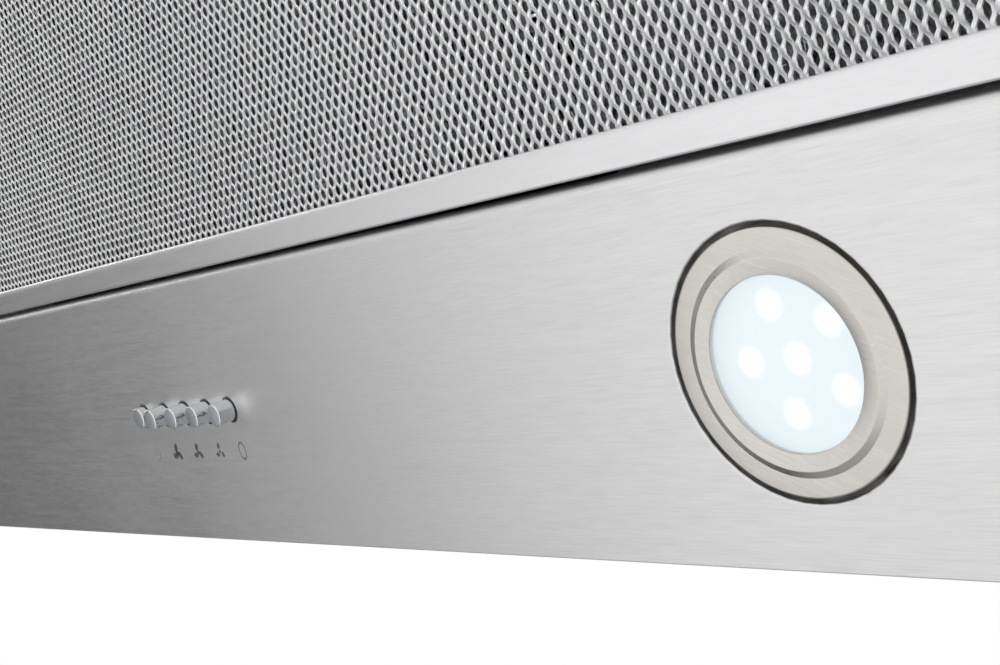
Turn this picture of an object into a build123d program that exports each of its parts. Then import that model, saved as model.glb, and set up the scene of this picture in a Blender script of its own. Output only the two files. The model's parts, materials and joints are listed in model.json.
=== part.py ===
from build123d import *
from math import cos, radians, sin, sqrt
import os

os.makedirs("parts", exist_ok=True)

# An undermount range hood: a flat steel plate that seats under a cabinet, with a canopy, a blower
# tower and a duct collar above it, and a hinged grease filter.
# X runs along the hood, Y from the front edge to the wall, Z up. Lengths are in millimetres.
# The origin is the middle of the four fixing screws, in the plane that seats on the cabinet.

# Bottom plate
plate_length = 860.0
plate_thickness = 1.0
plate_front_margin = 14.0
plate_back_margin = 21.0
hem_width = 5.0
hem_edge_radius = 0.6
fixing_inset_x = 11.0
fixing_inset_y = 9.5
fixing_hole_radius = 2.5
face_z = -2 * plate_thickness
back_z = -plate_thickness

# Front strip and filter opening
strip_depth = 102.5
rear_border = 31.0
opening_end_border = 40.0
opening_corner_radius = 3.0
fold_radius = 1.3
return_height = 12.0

# Canopy, tower and channel sheet metal
sheet = 1.0
canopy_end_margin = 26.0
canopy_height = 110.0
canopy_end_height = 62.0
canopy_slope_length = 60.0
flange_clearance = 0.3
tower_length = 300.0
tower_side_inset = 10.5
tower_front_gap = 6.7
tower_back_gap = 1.5
tower_flange_width = 12.0
tower_opening_inset = 3.0
channel_height = 53.0
channel_sheet = 0.8
channel_gap = 2.2
channel_foot = 8.0
bend_radius = 2.0

# Lamps
lamp_spacing = 585.6
lamp_from_front = 51.6
well_radius = 34.2
well_depth = 6.0
well_edge_radius = 0.7
ledge_width = 4.8
bezel_gap = 1.3
bezel_edge_radius = 0.5
bezel_dish_radius = 25.8
bezel_step_radius = 27.7
bezel_proud = 0.85
lens_radius = 21.7
lens_proud = 0.3
lens_step = 1.4
lens_thickness = 3.0
lens_seat = 1.2
lamp_can_clearance = 0.6
lamp_can_height = 24.0
lamp_can_wall = 1.5
lamp_can_slope = 4.5
groove_count = 8
groove_circle_radius = 14.4
groove_length = 17.0
groove_width = 3.0
groove_depth = 3.0
board_depth = 6.2
board_thickness = 1.6
led_size = 3.5
led_height = 0.9
led_circle_radius = 14.2
led_count_on_circle = 5
reflector_wall = 0.8
reflector_back_radius = 19.0
ledge_radius = well_radius - ledge_width
bezel_radius = well_radius - bezel_gap
lamp_can_radius = ledge_radius - lamp_can_clearance

# Push buttons
button_pitch = 17.0
button_radius = 4.2
button_protrusion = 7.0
button_travel = 3.6
button_inner_length = 12.0
button_chamfer = 0.5
button_clearance = 0.1
guide_wall = 0.7
guide_clearance = 0.1
switch_end_margin = 12.0
switch_width = 22.0
switch_height = 34.0
switch_corner_radius = 1.0
switch_end_clearance = 0.6
bracket_sheet = 1.2
bracket_width = 16.0
bracket_foot = 12.0
stud_radius = 2.0
stud_end_length = 1.0
nut_flats = 7.0
nut_height = 3.2
button_names = ("button_0", "button_1", "button_2", "button_3", "button_light")
latched_button = "button_light"
guide_radius = button_radius + button_clearance + guide_wall
switch_length = (len(button_names) - 1) * button_pitch + 2 * switch_end_margin

# Lamp driver
driver_length = 90.0
driver_width = 34.0
driver_height = 22.0
driver_x = 155.0
driver_corner_radius = 1.5
driver_edge_radius = 1.0

# Blower: wheel, scroll and motor, on one axis along X
wheel_radius = 74.0
wheel_half_length = 54.0
blade_count = 30
blade_depth = 13.0
blade_thickness = 0.9
blade_sweep = 13.0
blade_bulge = 3.0
blade_tip_inset = 0.9
rim_width = 3.0
rim_depth = 7.0
hub_disc_thickness = 1.6
disc_hole_circle_radius = 38.0
disc_hole_count = 6
disc_hole_radius = 8.0
hub_radius = 11.0
hub_length = 20.0
scroll_cutoff_gap = 12.0
scroll_step = 6.0
scroll_sheet = 0.8
scroll_floor_gap = 5.2
outlet_neck = 12.0
tongue_radius = 5.0
inlet_inset = 1.0
inlet_lip = 6.0
wheel_end_gap = 4.0
tab_length = 22.0
tab_sheet = 1.0
motor_radius = 42.0
motor_front_x = -14.0
motor_back_x = -80.0
motor_edge_radius = 5.0
motor_slot_count = 12
motor_slot_circle_radius = 26.0
motor_slot_length = 17.0
motor_slot_width = 3.0
motor_slot_depth = 2.5
motor_boss_radius = 12.0
motor_boss_length = 2.5
motor_band_width = 16.0
motor_band_depth = 1.5
shaft_radius = 4.0
shaft_clearance = 0.05
shaft_overhang = 7.0
shaft_end_length = 2.0
shaft_chamfer = 0.7
nut_radius = 7.0
nut_length = 5.0
arm_count = 3
arm_angle = 60.0
arm_ring_inner = 14.0
arm_ring_outer = 25.0
arm_leg_gap = 2.0
arm_seat_width = 14.0
arm_width = 14.0
arm_sheet = 2.0
motor_screw_depth = 8.0
grommet_thickness = 2.0
grommet_radius = 6.0
arm_screw_radius = 2.0
arm_screw_head_radius = 4.0
arm_screw_head = 2.4
wheel_inner_radius = wheel_radius - blade_depth
scroll_start_radius = wheel_radius + scroll_cutoff_gap
scroll_end_radius = scroll_start_radius + 2 * scroll_step
scroll_half_width = wheel_half_length + inlet_lip + wheel_end_gap
inlet_mouth_radius = wheel_inner_radius - inlet_inset + inlet_lip
outlet_width = scroll_end_radius + scroll_step
arm_leg_radius = inlet_mouth_radius + arm_leg_gap
arm_seat_radius = arm_leg_radius + (arm_sheet + arm_seat_width) / 2
motor_screw_radius = (arm_ring_inner + arm_ring_outer) / 2

# Outlet collar and damper flaps
collar_radius = 74.5
collar_wall = 1.2
collar_height = 50.0
collar_flange_border = 11.5
collar_flange_sheet = 1.2
collar_corner_radius = 8.0
outlet_screw_inset = 7.0
outlet_screw_y = 60.0
screw_radius = 2.0
screw_head_radius = 3.8
screw_head_height = 2.2
axle_radius = 1.5
axle_gap = 7.0
axle_height = 3.8
barrel_radius = 2.4
flap_clearance = 2.3
flap_sheet = 0.8
lug_length = 7.3
lug_half_width = 7.0
lug_height = 7.0
lug_gap = 3.0
lug_sink = 1.0
rest_ring_width = 4.0
rest_gap = 0.3
collar_inner_radius = collar_radius - collar_wall
collar_flange = 2 * (collar_radius + collar_flange_border)
outlet_screw_x = collar_flange / 2 - outlet_screw_inset
flap_radius = collar_inner_radius - flap_clearance
lug_inner_x = collar_inner_radius - lug_length
flap_notch_x = lug_inner_x - lug_gap
flap_notch_y = lug_half_width + lug_gap
barrel_half_length = flap_notch_x - lug_gap

# Terminal box, capacitor and cable gland on the tower's right wall
box_length = 70.0
box_height = 60.0
box_depth = 32.0
box_wall = 2.0
box_y = -62.0
box_z = 176.0
box_lid_thickness = 2.0
block_poles = 5
block_pitch = 10.0
block_width = 18.0
block_height = 16.0
capacitor_radius = 14.0
capacitor_length = 48.0
capacitor_y = 40.0
capacitor_z = 176.0
capacitor_gap = 1.0
capacitor_edge_radius = 2.0
strap_width = 12.0
strap_sheet = 0.8
gland_radius = 8.0
gland_bore_radius = 3.5
gland_flange_radius = 11.0
gland_length = 16.0
gland_y = -62.0
gland_z = 224.0

# Side spring clips
clip_width = 34.0
clip_sheet = 0.8
clip_top_z = 54.0
clip_bottom_z = 16.0
clip_bow = 7.0
clip_y = 40.0
rivet_radius = 2.0
rivet_head_radius = 3.4
rivet_head = 1.0

# Grease filter
filter_gap = 1.5
filter_thickness = 10.0
frame_face_width = 10.0
frame_sheet = 0.8
frame_edge_radius = 0.5
mesh_sheet = 0.8
mesh_columns = 26
mesh_rows = 4
mesh_strand = 3.2
layer_strand = 3.2
mesh_margin = 5.0
layer_thickness = 1.0
layer_count = 2
layer_columns = 15
pivot_from_front = 4.0
pivot_height = 2.6
pivot_radius = 1.5
pivot_clearance = 0.05
pivot_shoulder_radius = 2.2
pivot_shoulder_length = 1.0
pivot_outside = 3.0
latch_x = 200.0
latch_housing_length = 54.0
latch_wall = 0.8
latch_recess_length = 38.0
finger_space = 6.3
latch_plate_width = 20.0
latch_plate_thickness = 2.0
latch_grip_length = 28.0
latch_grip_thickness = 3.0
latch_grip_inset = 2.5
latch_lug_length = 6.0
latch_lug_thickness = 2.0
latch_reach = 4.5
latch_release = 0.7
latch_clearance = 0.3
latch_floor = 2.6
spring_sheet = 0.4
spring_half_length = 16.0
spring_height = 2.8
spring_clearance = 0.1
latch_travel = latch_reach + latch_release
latch_recess_depth = finger_space + latch_travel + latch_grip_thickness + latch_grip_inset

# What follows from these, from the blower outwards
tower_depth = (
    sheet
    + tower_front_gap
    + scroll_sheet
    + scroll_start_radius
    + outlet_width / 2
    + collar_flange / 2
    + tower_back_gap
)
canopy_depth = tower_depth + 2 * tower_side_inset
plate_depth = plate_front_margin + canopy_depth + plate_back_margin
plate_front_y = -plate_depth / 2
canopy_front_y = plate_front_y + plate_front_margin
canopy_back_y = canopy_front_y + canopy_depth
canopy_middle_y = (canopy_front_y + canopy_back_y) / 2
canopy_length = plate_length - 2 * canopy_end_margin
wheel_y = (
    canopy_front_y + tower_side_inset + sheet + tower_front_gap + scroll_sheet + scroll_start_radius
)
wheel_z = channel_height + scroll_floor_gap + scroll_sheet + scroll_end_radius - scroll_step
spigot_y = wheel_y + outlet_width / 2
tower_top_z = wheel_z + scroll_start_radius + outlet_neck + sheet
tower_height = tower_top_z - canopy_height
axle_z = tower_top_z + axle_height
opening_length = plate_length - 2 * opening_end_border
opening_depth = plate_depth - strip_depth - rear_border
opening_front_y = plate_front_y + strip_depth
opening_back_y = opening_front_y + opening_depth
opening_middle_y = (opening_front_y + opening_back_y) / 2
lamp_y = plate_front_y + lamp_from_front
filter_length = opening_length - 2 * filter_gap
filter_front_y = opening_front_y + filter_gap
filter_back_y = opening_back_y - filter_gap
filter_depth = filter_back_y - filter_front_y
filter_top_z = face_z + filter_thickness
pivot_y = filter_front_y + pivot_from_front
pivot_z = face_z + pivot_height

fixing_x = plate_length / 2 - fixing_inset_x
fixing_y = plate_depth / 2 - fixing_inset_y
lamp_places = {"left": -lamp_spacing / 2, "right": lamp_spacing / 2}
fixing_places = [(x * fixing_x, y * fixing_y) for x in (-1, 1) for y in (-1, 1)]
button_places = [
    ((place - (len(button_names) - 1) / 2) * button_pitch, lamp_y)
    for place in range(len(button_names))
]
outlet_screw_places = [
    (x * outlet_screw_x, spigot_y + y * outlet_screw_y) for x in (-1, 1) for y in (-1, 1)
]
wheel_axis = Axis((0, wheel_y, wheel_z), (1, 0, 0))


def save(piece, name):
    # Labels a finished piece and writes it.
    piece.part.label = name
    export_step(piece.part, f"parts/{name}.step")


def across(x):
    # The plane square to the X axis at x: its own x runs along Y, its own y along Z.
    return Plane.YZ.offset(x)


def along(y):
    # The plane square to the Y axis at y: its own x runs along X, its own y along Z.
    return Plane.XZ.offset(-y)


def wheel_plane(x):
    # The plane square to the wheel's axis at x, centred on that axis.
    return Plane(origin=(x, wheel_y, wheel_z), x_dir=(0, 1, 0), z_dir=(1, 0, 0))


def upright_at(x, y):
    # The plane through the vertical line at (x, y), for profiles that revolve about it.
    return Plane(origin=(x, y, 0), x_dir=(1, 0, 0), z_dir=(0, -1, 0))


def vertical(x, y):
    return Axis((x, y, 0), (0, 0, 1))


# Bottom plate: hemmed rim, folded returns round the filter opening, formed lamp wells, button holes
bracket_stud_x = switch_length / 2 + bracket_foot / 2
stud_top_z = back_z + bracket_sheet + nut_height + stud_end_length

# How near an edge's measured place or radius must be to the one it is chosen by
edge_match = 0.01

with BuildPart() as bottom_plate:
    with BuildSketch(Plane.XY.offset(face_z)):
        Rectangle(plate_length, plate_depth)
    extrude(amount=plate_thickness)
    with BuildSketch(Plane.XY.offset(back_z)):
        Rectangle(plate_length, plate_depth)
        Rectangle(plate_length - 2 * hem_width, plate_depth - 2 * hem_width, mode=Mode.SUBTRACT)
    extrude(amount=plate_thickness)
    rim_edges = bottom_plate.edges().group_by(Axis.Z)[0]
    fillet(rim_edges, hem_edge_radius)
    with BuildSketch(Plane.XY.offset(face_z)):
        with Locations((0, opening_middle_y)):
            RectangleRounded(
                opening_length + 2 * plate_thickness,
                opening_depth + 2 * plate_thickness,
                opening_corner_radius + plate_thickness,
            )
    extrude(amount=return_height)
    with BuildSketch(Plane.XY.offset(face_z)):
        with Locations((0, opening_middle_y)):
            RectangleRounded(opening_length, opening_depth, opening_corner_radius)
    extrude(amount=return_height, mode=Mode.SUBTRACT)
    with Locations(*[(x, lamp_y, face_z) for x in lamp_places.values()]):
        Cylinder(
            well_radius + plate_thickness, well_depth, align=(Align.CENTER, Align.CENTER, Align.MIN)
        )
        Cylinder(
            well_radius,
            well_depth - plate_thickness,
            align=(Align.CENTER, Align.CENTER, Align.MIN),
            mode=Mode.SUBTRACT,
        )
        Cylinder(
            ledge_radius,
            well_depth,
            align=(Align.CENTER, Align.CENTER, Align.MIN),
            mode=Mode.SUBTRACT,
        )
    opening_edges = [
        edge
        for edge in bottom_plate.edges().group_by(Axis.Z)[0]
        if abs(edge.center().X) < opening_length / 2 + plate_thickness
        and opening_front_y - plate_thickness < edge.center().Y < opening_back_y + plate_thickness
    ]
    fillet(opening_edges, fold_radius)
    well_edges = [
        edge
        for edge in bottom_plate.edges().filter_by(GeomType.CIRCLE).group_by(Axis.Z)[0]
        if abs(edge.radius - well_radius) < edge_match
    ]
    fillet(well_edges, well_edge_radius)
    with BuildSketch(Plane.XY.offset(face_z)):
        with Locations(*button_places):
            Circle(guide_radius + guide_clearance)
        with Locations(*fixing_places):
            Circle(fixing_hole_radius)
    extrude(amount=2 * plate_thickness, mode=Mode.SUBTRACT)
    with BuildSketch(Plane.XY.offset(back_z)):
        with Locations((-bracket_stud_x, lamp_y), (bracket_stud_x, lamp_y)):
            Circle(stud_radius)
    extrude(amount=stud_top_z - back_z)
    # Pivot holes for the filter in the end returns, and windows for its latches in the back one
    with BuildSketch(across(-opening_length / 2 - plate_thickness)):
        with Locations((pivot_y, pivot_z)):
            Circle(pivot_radius + pivot_clearance)
    extrude(amount=opening_length + 2 * plate_thickness, mode=Mode.SUBTRACT)
    with BuildSketch(along(opening_back_y)):
        with Locations(*[(x, face_z + latch_floor + latch_plate_thickness / 2) for x in (-latch_x, latch_x)]):
            Rectangle(
                latch_plate_width + 4 * latch_clearance, latch_plate_thickness + 2 * latch_clearance
            )
    extrude(amount=-plate_thickness, mode=Mode.SUBTRACT)
save(bottom_plate, "bottom_plate")

# Canopy body: folded box with sloped ends, an outward flange on the plate and a hole for the tower
with BuildPart() as canopy_body:
    canopy_outline = [
        (-canopy_length / 2, back_z),
        (-canopy_length / 2, canopy_end_height),
        (-canopy_length / 2 + canopy_slope_length, canopy_height),
        (canopy_length / 2 - canopy_slope_length, canopy_height),
        (canopy_length / 2, canopy_end_height),
        (canopy_length / 2, back_z),
    ]
    with BuildSketch(along(canopy_back_y)):
        with BuildLine():
            Polyline(*canopy_outline, close=True)
        make_face()
    extrude(amount=canopy_depth)
    fillet(canopy_body.edges().filter_by(Axis.Y).group_by(Axis.Z)[1:], bend_radius)
    bottom_face = canopy_body.faces().sort_by(Axis.Z)[0]
    offset(amount=-sheet, openings=bottom_face, kind=Kind.INTERSECTION)
    with BuildSketch(Plane.XY.offset(back_z)):
        Rectangle(
            plate_length - 2 * hem_width - 2 * flange_clearance,
            plate_depth - 2 * hem_width - 2 * flange_clearance,
        )
        with Locations((0, canopy_middle_y)):
            Rectangle(canopy_length - 2 * sheet, canopy_depth - 2 * sheet, mode=Mode.SUBTRACT)
        with Locations(*fixing_places):
            Circle(fixing_hole_radius, mode=Mode.SUBTRACT)
    extrude(amount=plate_thickness)
    with BuildSketch(Plane.XY.offset(canopy_height)):
        with Locations((0, canopy_middle_y)):
            Rectangle(tower_length - 2 * tower_opening_inset, tower_depth - 2 * tower_opening_inset)
    extrude(amount=-sheet, mode=Mode.SUBTRACT)
save(canopy_body, "canopy_body")

# Motor tower: box over the blower, flanged to the canopy, with the outlet hole in its top
tower_screw_places = [
    (x * (tower_length / 2 + tower_flange_width / 2), canopy_middle_y + y * tower_depth / 3)
    for x in (-1, 1)
    for y in (-1, 0, 1)
]
with BuildPart() as motor_tower:
    with BuildSketch(Plane.XY.offset(canopy_height)):
        with Locations((0, canopy_middle_y)):
            Rectangle(tower_length, tower_depth)
    extrude(amount=tower_height)
    fillet(motor_tower.edges().filter_by(Axis.Z), bend_radius)
    offset(
        amount=-sheet,
        openings=motor_tower.faces().sort_by(Axis.Z)[0],
        kind=Kind.INTERSECTION,
    )
    with BuildSketch(Plane.XY.offset(canopy_height)):
        with Locations((0, canopy_middle_y)):
            Rectangle(tower_length + 2 * tower_flange_width, tower_depth)
            Rectangle(tower_length - 2 * sheet, tower_depth - 2 * sheet, mode=Mode.SUBTRACT)
        with Locations(*tower_screw_places):
            Circle(screw_radius, mode=Mode.SUBTRACT)
    extrude(amount=sheet)
    with BuildSketch(Plane.XY.offset(tower_top_z)):
        with Locations((0, spigot_y)):
            Circle(collar_inner_radius)
        with Locations(*outlet_screw_places):
            Circle(screw_radius)
    extrude(amount=-sheet, mode=Mode.SUBTRACT)
    with BuildSketch(across(tower_length / 2)):
        with Locations((gland_y, gland_z)):
            Circle(gland_radius)
    extrude(amount=-sheet, mode=Mode.SUBTRACT)
save(motor_tower, "motor_tower")

with BuildPart() as tower_screws:
    with BuildSketch(Plane.XY.offset(canopy_height + sheet)):
        with Locations(*tower_screw_places):
            Circle(screw_head_radius)
    extrude(amount=screw_head_height)
    fillet(tower_screws.edges().group_by(Axis.Z)[-1], screw_head_height / 2)
    with BuildSketch(Plane.XY.offset(canopy_height)):
        with Locations(*tower_screw_places):
            Circle(screw_radius)
    extrude(amount=sheet)
save(tower_screws, "tower_screws")

# Control channel: cover over the lamps and the switch, standing on the plate
channel_wall_y = opening_front_y - plate_thickness - channel_gap
channel_front_y = canopy_front_y + sheet
channel_length = canopy_length - 2 * sheet - 2 * flange_clearance
with BuildPart() as control_channel:
    with BuildSketch(across(-channel_length / 2)):
        with BuildLine():
            Polyline(
                (channel_wall_y - channel_foot, back_z),
                (channel_wall_y, back_z),
                (channel_wall_y, channel_height),
                (channel_front_y, channel_height),
                (channel_front_y, channel_height - channel_foot),
                (channel_front_y + channel_sheet, channel_height - channel_foot),
                (channel_front_y + channel_sheet, channel_height - channel_sheet),
                (channel_wall_y - channel_sheet, channel_height - channel_sheet),
                (channel_wall_y - channel_sheet, back_z + channel_sheet),
                (channel_wall_y - channel_foot, back_z + channel_sheet),
                close=True,
            )
        make_face()
    extrude(amount=channel_length)
save(control_channel, "control_channel")

# Lamps: bezel in the formed well, lens, reflector, board with its light sources, can and clips
bezel_back_z = face_z + well_depth - plate_thickness
lens_front_z = face_z - lens_proud
lens_step_z = lens_front_z + lens_step
lens_back_z = lens_front_z + lens_thickness
lens_seat_radius = lens_radius + lens_seat
board_z = face_z + board_depth
can_top_z = bezel_back_z + lamp_can_height
for side, lamp_x in lamp_places.items():
    lamp_plane = upright_at(lamp_x, lamp_y)
    lamp_axis = vertical(lamp_x, lamp_y)

    with BuildPart() as lamp_bezel:
        with BuildSketch(lamp_plane):
            with BuildLine():
                Polyline(
                    (lens_radius, lens_front_z),
                    (bezel_dish_radius, face_z - bezel_proud),
                    (bezel_step_radius, face_z),
                    (bezel_radius, face_z),
                    (bezel_radius, bezel_back_z),
                    (lens_seat_radius, bezel_back_z),
                    (lens_seat_radius, lens_step_z),
                    (lens_radius, lens_step_z),
                    close=True,
                )
            make_face()
        revolve(axis=lamp_axis)
        outer_edge = [
            edge
            for edge in lamp_bezel.edges().filter_by(GeomType.CIRCLE)
            if abs(edge.radius - bezel_radius) < edge_match
            and abs(edge.center().Z - face_z) < edge_match
        ]
        fillet(outer_edge, bezel_edge_radius)
    save(lamp_bezel, f"lamp_bezel_{side}")

    with BuildPart() as lamp_lens:
        with BuildSketch(Plane.XY.offset(lens_front_z)):
            with Locations((lamp_x, lamp_y)):
                Circle(lens_radius)
        extrude(amount=lens_step)
        with BuildSketch(Plane.XY.offset(lens_step_z)):
            with Locations((lamp_x, lamp_y)):
                Circle(lens_seat_radius)
        extrude(amount=lens_back_z - lens_step_z)
    save(lamp_lens, f"lamp_lens_{side}")

    with BuildPart() as lamp_reflector:
        with BuildSketch(lamp_plane):
            with BuildLine():
                Polyline(
                    (lens_seat_radius, lens_back_z),
                    (lens_seat_radius - reflector_wall, lens_back_z),
                    (reflector_back_radius, board_z),
                    (lens_seat_radius, board_z),
                    close=True,
                )
            make_face()
        revolve(axis=lamp_axis)
    save(lamp_reflector, f"lamp_reflector_{side}")

    with BuildPart() as lamp_board:
        with BuildSketch(Plane.XY.offset(board_z)):
            with Locations((lamp_x, lamp_y)):
                Circle(lamp_can_radius - lamp_can_wall)
        extrude(amount=board_thickness)
    save(lamp_board, f"lamp_board_{side}")

    with BuildPart() as lamp_leds:
        with BuildSketch(Plane.XY.offset(board_z - led_height)):
            with Locations((lamp_x, lamp_y)):
                Rectangle(led_size, led_size)
                with PolarLocations(led_circle_radius, led_count_on_circle):
                    Rectangle(led_size, led_size)
        extrude(amount=led_height)
    save(lamp_leds, f"lamp_leds_{side}")

    with BuildPart() as lamp_can:
        with BuildSketch(Plane.XY.offset(bezel_back_z)):
            with Locations((lamp_x, lamp_y)):
                Circle(lamp_can_radius)
        extrude(amount=lamp_can_height)
        chamfer(lamp_can.edges().group_by(Axis.Z)[-1], lamp_can_slope)
        with BuildSketch(Plane.XY.offset(bezel_back_z)):
            with Locations((lamp_x, lamp_y)):
                Circle(lamp_can_radius - lamp_can_wall)
        extrude(amount=board_z + board_thickness - bezel_back_z, mode=Mode.SUBTRACT)
        # Cooling grooves round the back of the can
        with BuildSketch(Plane.XY.offset(can_top_z - groove_depth)):
            with Locations((lamp_x, lamp_y)):
                with PolarLocations(groove_circle_radius, groove_count):
                    SlotOverall(groove_length, groove_width)
        extrude(amount=groove_depth, mode=Mode.SUBTRACT)
    save(lamp_can, f"lamp_can_{side}")

# Push buttons: the light button is latched in at rest, so it stands one travel further in
for name, (button_x, button_y) in zip(button_names, button_places):
    pressed = button_travel if name == latched_button else 0.0
    with BuildPart() as button:
        with BuildSketch(Plane.XY.offset(face_z - button_protrusion + pressed)):
            with Locations((button_x, button_y)):
                Circle(button_radius)
        extrude(amount=button_protrusion + button_inner_length)
        chamfer(button.edges().group_by(Axis.Z)[0], button_chamfer)
    save(button, name)

# Switch body: one block behind the plate, with a guide sleeve through each button hole
bore_top_z = face_z + button_inner_length + button_travel + switch_end_clearance
with BuildPart() as switch_body:
    with BuildSketch(Plane.XY.offset(back_z)):
        with Locations((0, lamp_y)):
            RectangleRounded(switch_length, switch_width, switch_corner_radius)
    extrude(amount=switch_height)
    with BuildSketch(Plane.XY.offset(face_z)):
        with Locations(*button_places):
            Circle(guide_radius)
    extrude(amount=plate_thickness)
    with BuildSketch(Plane.XY.offset(face_z)):
        with Locations(*button_places):
            Circle(button_radius + button_clearance)
    extrude(amount=bore_top_z - face_z, mode=Mode.SUBTRACT)
save(switch_body, "switch_body")

# Switch bracket: strap over the switch body, held on two studs of the plate
bracket_top_z = back_z + switch_height + bracket_sheet
bracket_end_x = switch_length / 2 + bracket_foot
with BuildPart() as switch_bracket:
    with BuildSketch(along(lamp_y + bracket_width / 2)):
        with BuildLine():
            Polyline(
                (-bracket_end_x, back_z),
                (-switch_length / 2, back_z),
                (-switch_length / 2, bracket_top_z - bracket_sheet),
                (switch_length / 2, bracket_top_z - bracket_sheet),
                (switch_length / 2, back_z),
                (bracket_end_x, back_z),
                (bracket_end_x, back_z + bracket_sheet),
                (switch_length / 2 + bracket_sheet, back_z + bracket_sheet),
                (switch_length / 2 + bracket_sheet, bracket_top_z),
                (-switch_length / 2 - bracket_sheet, bracket_top_z),
                (-switch_length / 2 - bracket_sheet, back_z + bracket_sheet),
                (-bracket_end_x, back_z + bracket_sheet),
                close=True,
            )
        make_face()
    extrude(amount=bracket_width)
    with BuildSketch(Plane.XY.offset(back_z)):
        with Locations((-bracket_stud_x, lamp_y), (bracket_stud_x, lamp_y)):
            Circle(stud_radius)
    extrude(amount=bracket_sheet, mode=Mode.SUBTRACT)
save(switch_bracket, "switch_bracket")

with BuildPart() as switch_nuts:
    with BuildSketch(Plane.XY.offset(back_z + bracket_sheet)):
        with Locations((-bracket_stud_x, lamp_y), (bracket_stud_x, lamp_y)):
            RegularPolygon(nut_flats / 2, 6, major_radius=False)
            Circle(stud_radius, mode=Mode.SUBTRACT)
    extrude(amount=nut_height)
save(switch_nuts, "switch_nuts")

with BuildPart() as lamp_driver:
    with BuildSketch(Plane.XY.offset(back_z)):
        with Locations((driver_x, lamp_y)):
            Rectangle(driver_length, driver_width)
    extrude(amount=driver_height)
    fillet(lamp_driver.edges().filter_by(Axis.Z), driver_corner_radius)
    fillet(lamp_driver.edges().group_by(Axis.Z)[-1], driver_edge_radius)
save(lamp_driver, "lamp_driver")


# Scroll: four-arc spiral whose radius grows by one step each quarter turn, then the straight outlet
def scroll_outline(growth):
    # The air space seen along X, grown by the sheet that wraps it.
    centre_2 = (wheel_y + scroll_step, wheel_z)
    centre_3 = (wheel_y + scroll_step, wheel_z + scroll_step)
    with BuildSketch() as outline:
        with BuildLine():
            inner_wall = Line(
                (wheel_y, tower_top_z - sheet), (wheel_y, wheel_z + scroll_start_radius)
            )
            CenterArc((wheel_y, wheel_z), scroll_start_radius, 90, 90)
            CenterArc(centre_2, scroll_start_radius + scroll_step, 180, 90)
            last = CenterArc(centre_3, scroll_start_radius + 2 * scroll_step, 270, 90)
            outer_wall = Line(last @ 1, ((last @ 1).X, tower_top_z - sheet))
            Line(outer_wall @ 1, inner_wall @ 0)
        make_face()
        tongue = outline.vertices().sort_by_distance((wheel_y, wheel_z + scroll_start_radius))[0]
        fillet(tongue, tongue_radius)
        if growth > 0:
            offset(amount=growth, kind=Kind.INTERSECTION)
    return outline.sketch


with BuildPart() as scroll_wrap:
    with BuildSketch(across(-scroll_half_width + scroll_sheet)):
        add(scroll_outline(scroll_sheet))
        add(scroll_outline(0), mode=Mode.SUBTRACT)
    extrude(amount=2 * (scroll_half_width - scroll_sheet))
    with BuildSketch(Plane.XY.offset(tower_top_z - sheet)):
        with Locations((0, spigot_y)):
            Rectangle(3 * scroll_half_width, 2 * outlet_width)
    extrude(amount=2 * sheet, mode=Mode.SUBTRACT)
    with BuildSketch(Plane.XY.offset(tower_top_z - 2 * sheet)):
        with Locations((0, spigot_y)):
            Rectangle(2 * (scroll_half_width - scroll_sheet), outlet_width - 2 * scroll_step)
    extrude(amount=sheet, mode=Mode.SUBTRACT)
save(scroll_wrap, "scroll_wrap")

for side, way in (("left", -1), ("right", 1)):
    plate_x = way * scroll_half_width
    with BuildPart() as scroll_side:
        with BuildSketch(across(plate_x)):
            add(scroll_outline(scroll_sheet))
        extrude(amount=-way * scroll_sheet)
        with BuildSketch(Plane.XY.offset(tower_top_z - sheet)):
            with Locations((0, spigot_y)):
                Rectangle(3 * scroll_half_width, 2 * outlet_width)
        extrude(amount=2 * sheet, mode=Mode.SUBTRACT)
        with BuildSketch(Plane.XY.offset(tower_top_z - sheet)):
            with Locations((way * (scroll_half_width + tab_length / 2), spigot_y)):
                Rectangle(tab_length, 2 * outlet_screw_y + tab_length)
            with Locations(*outlet_screw_places):
                Circle(screw_radius, mode=Mode.SUBTRACT)
        extrude(amount=-tab_sheet)
        with BuildSketch(across(plate_x)):
            with Locations((wheel_y, wheel_z)):
                Circle(inlet_mouth_radius)
        extrude(amount=-way * scroll_sheet, mode=Mode.SUBTRACT)
        # Inlet bell: the sheet curls inwards round the inlet
        with BuildSketch(Plane.XZ.offset(-wheel_y)):
            with Locations((plate_x - way * inlet_lip, wheel_z + inlet_mouth_radius)):
                Circle(inlet_lip)
                Circle(inlet_lip - scroll_sheet, mode=Mode.SUBTRACT)
            with Locations((plate_x, wheel_z + inlet_mouth_radius + inlet_lip)):
                Rectangle(4 * inlet_lip, 2 * inlet_lip, mode=Mode.SUBTRACT)
            with Locations((plate_x - 2 * way * inlet_lip, wheel_z + inlet_mouth_radius)):
                Rectangle(2 * inlet_lip, 4 * inlet_lip, mode=Mode.SUBTRACT)
        revolve(axis=wheel_axis)
        if side == "left":
            with BuildSketch(wheel_plane(plate_x)):
                with PolarLocations(arm_seat_radius, arm_count, start_angle=arm_angle):
                    Circle(arm_screw_radius)
            extrude(amount=scroll_sheet, mode=Mode.SUBTRACT)
    save(scroll_side, f"scroll_side_{side}")


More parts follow.
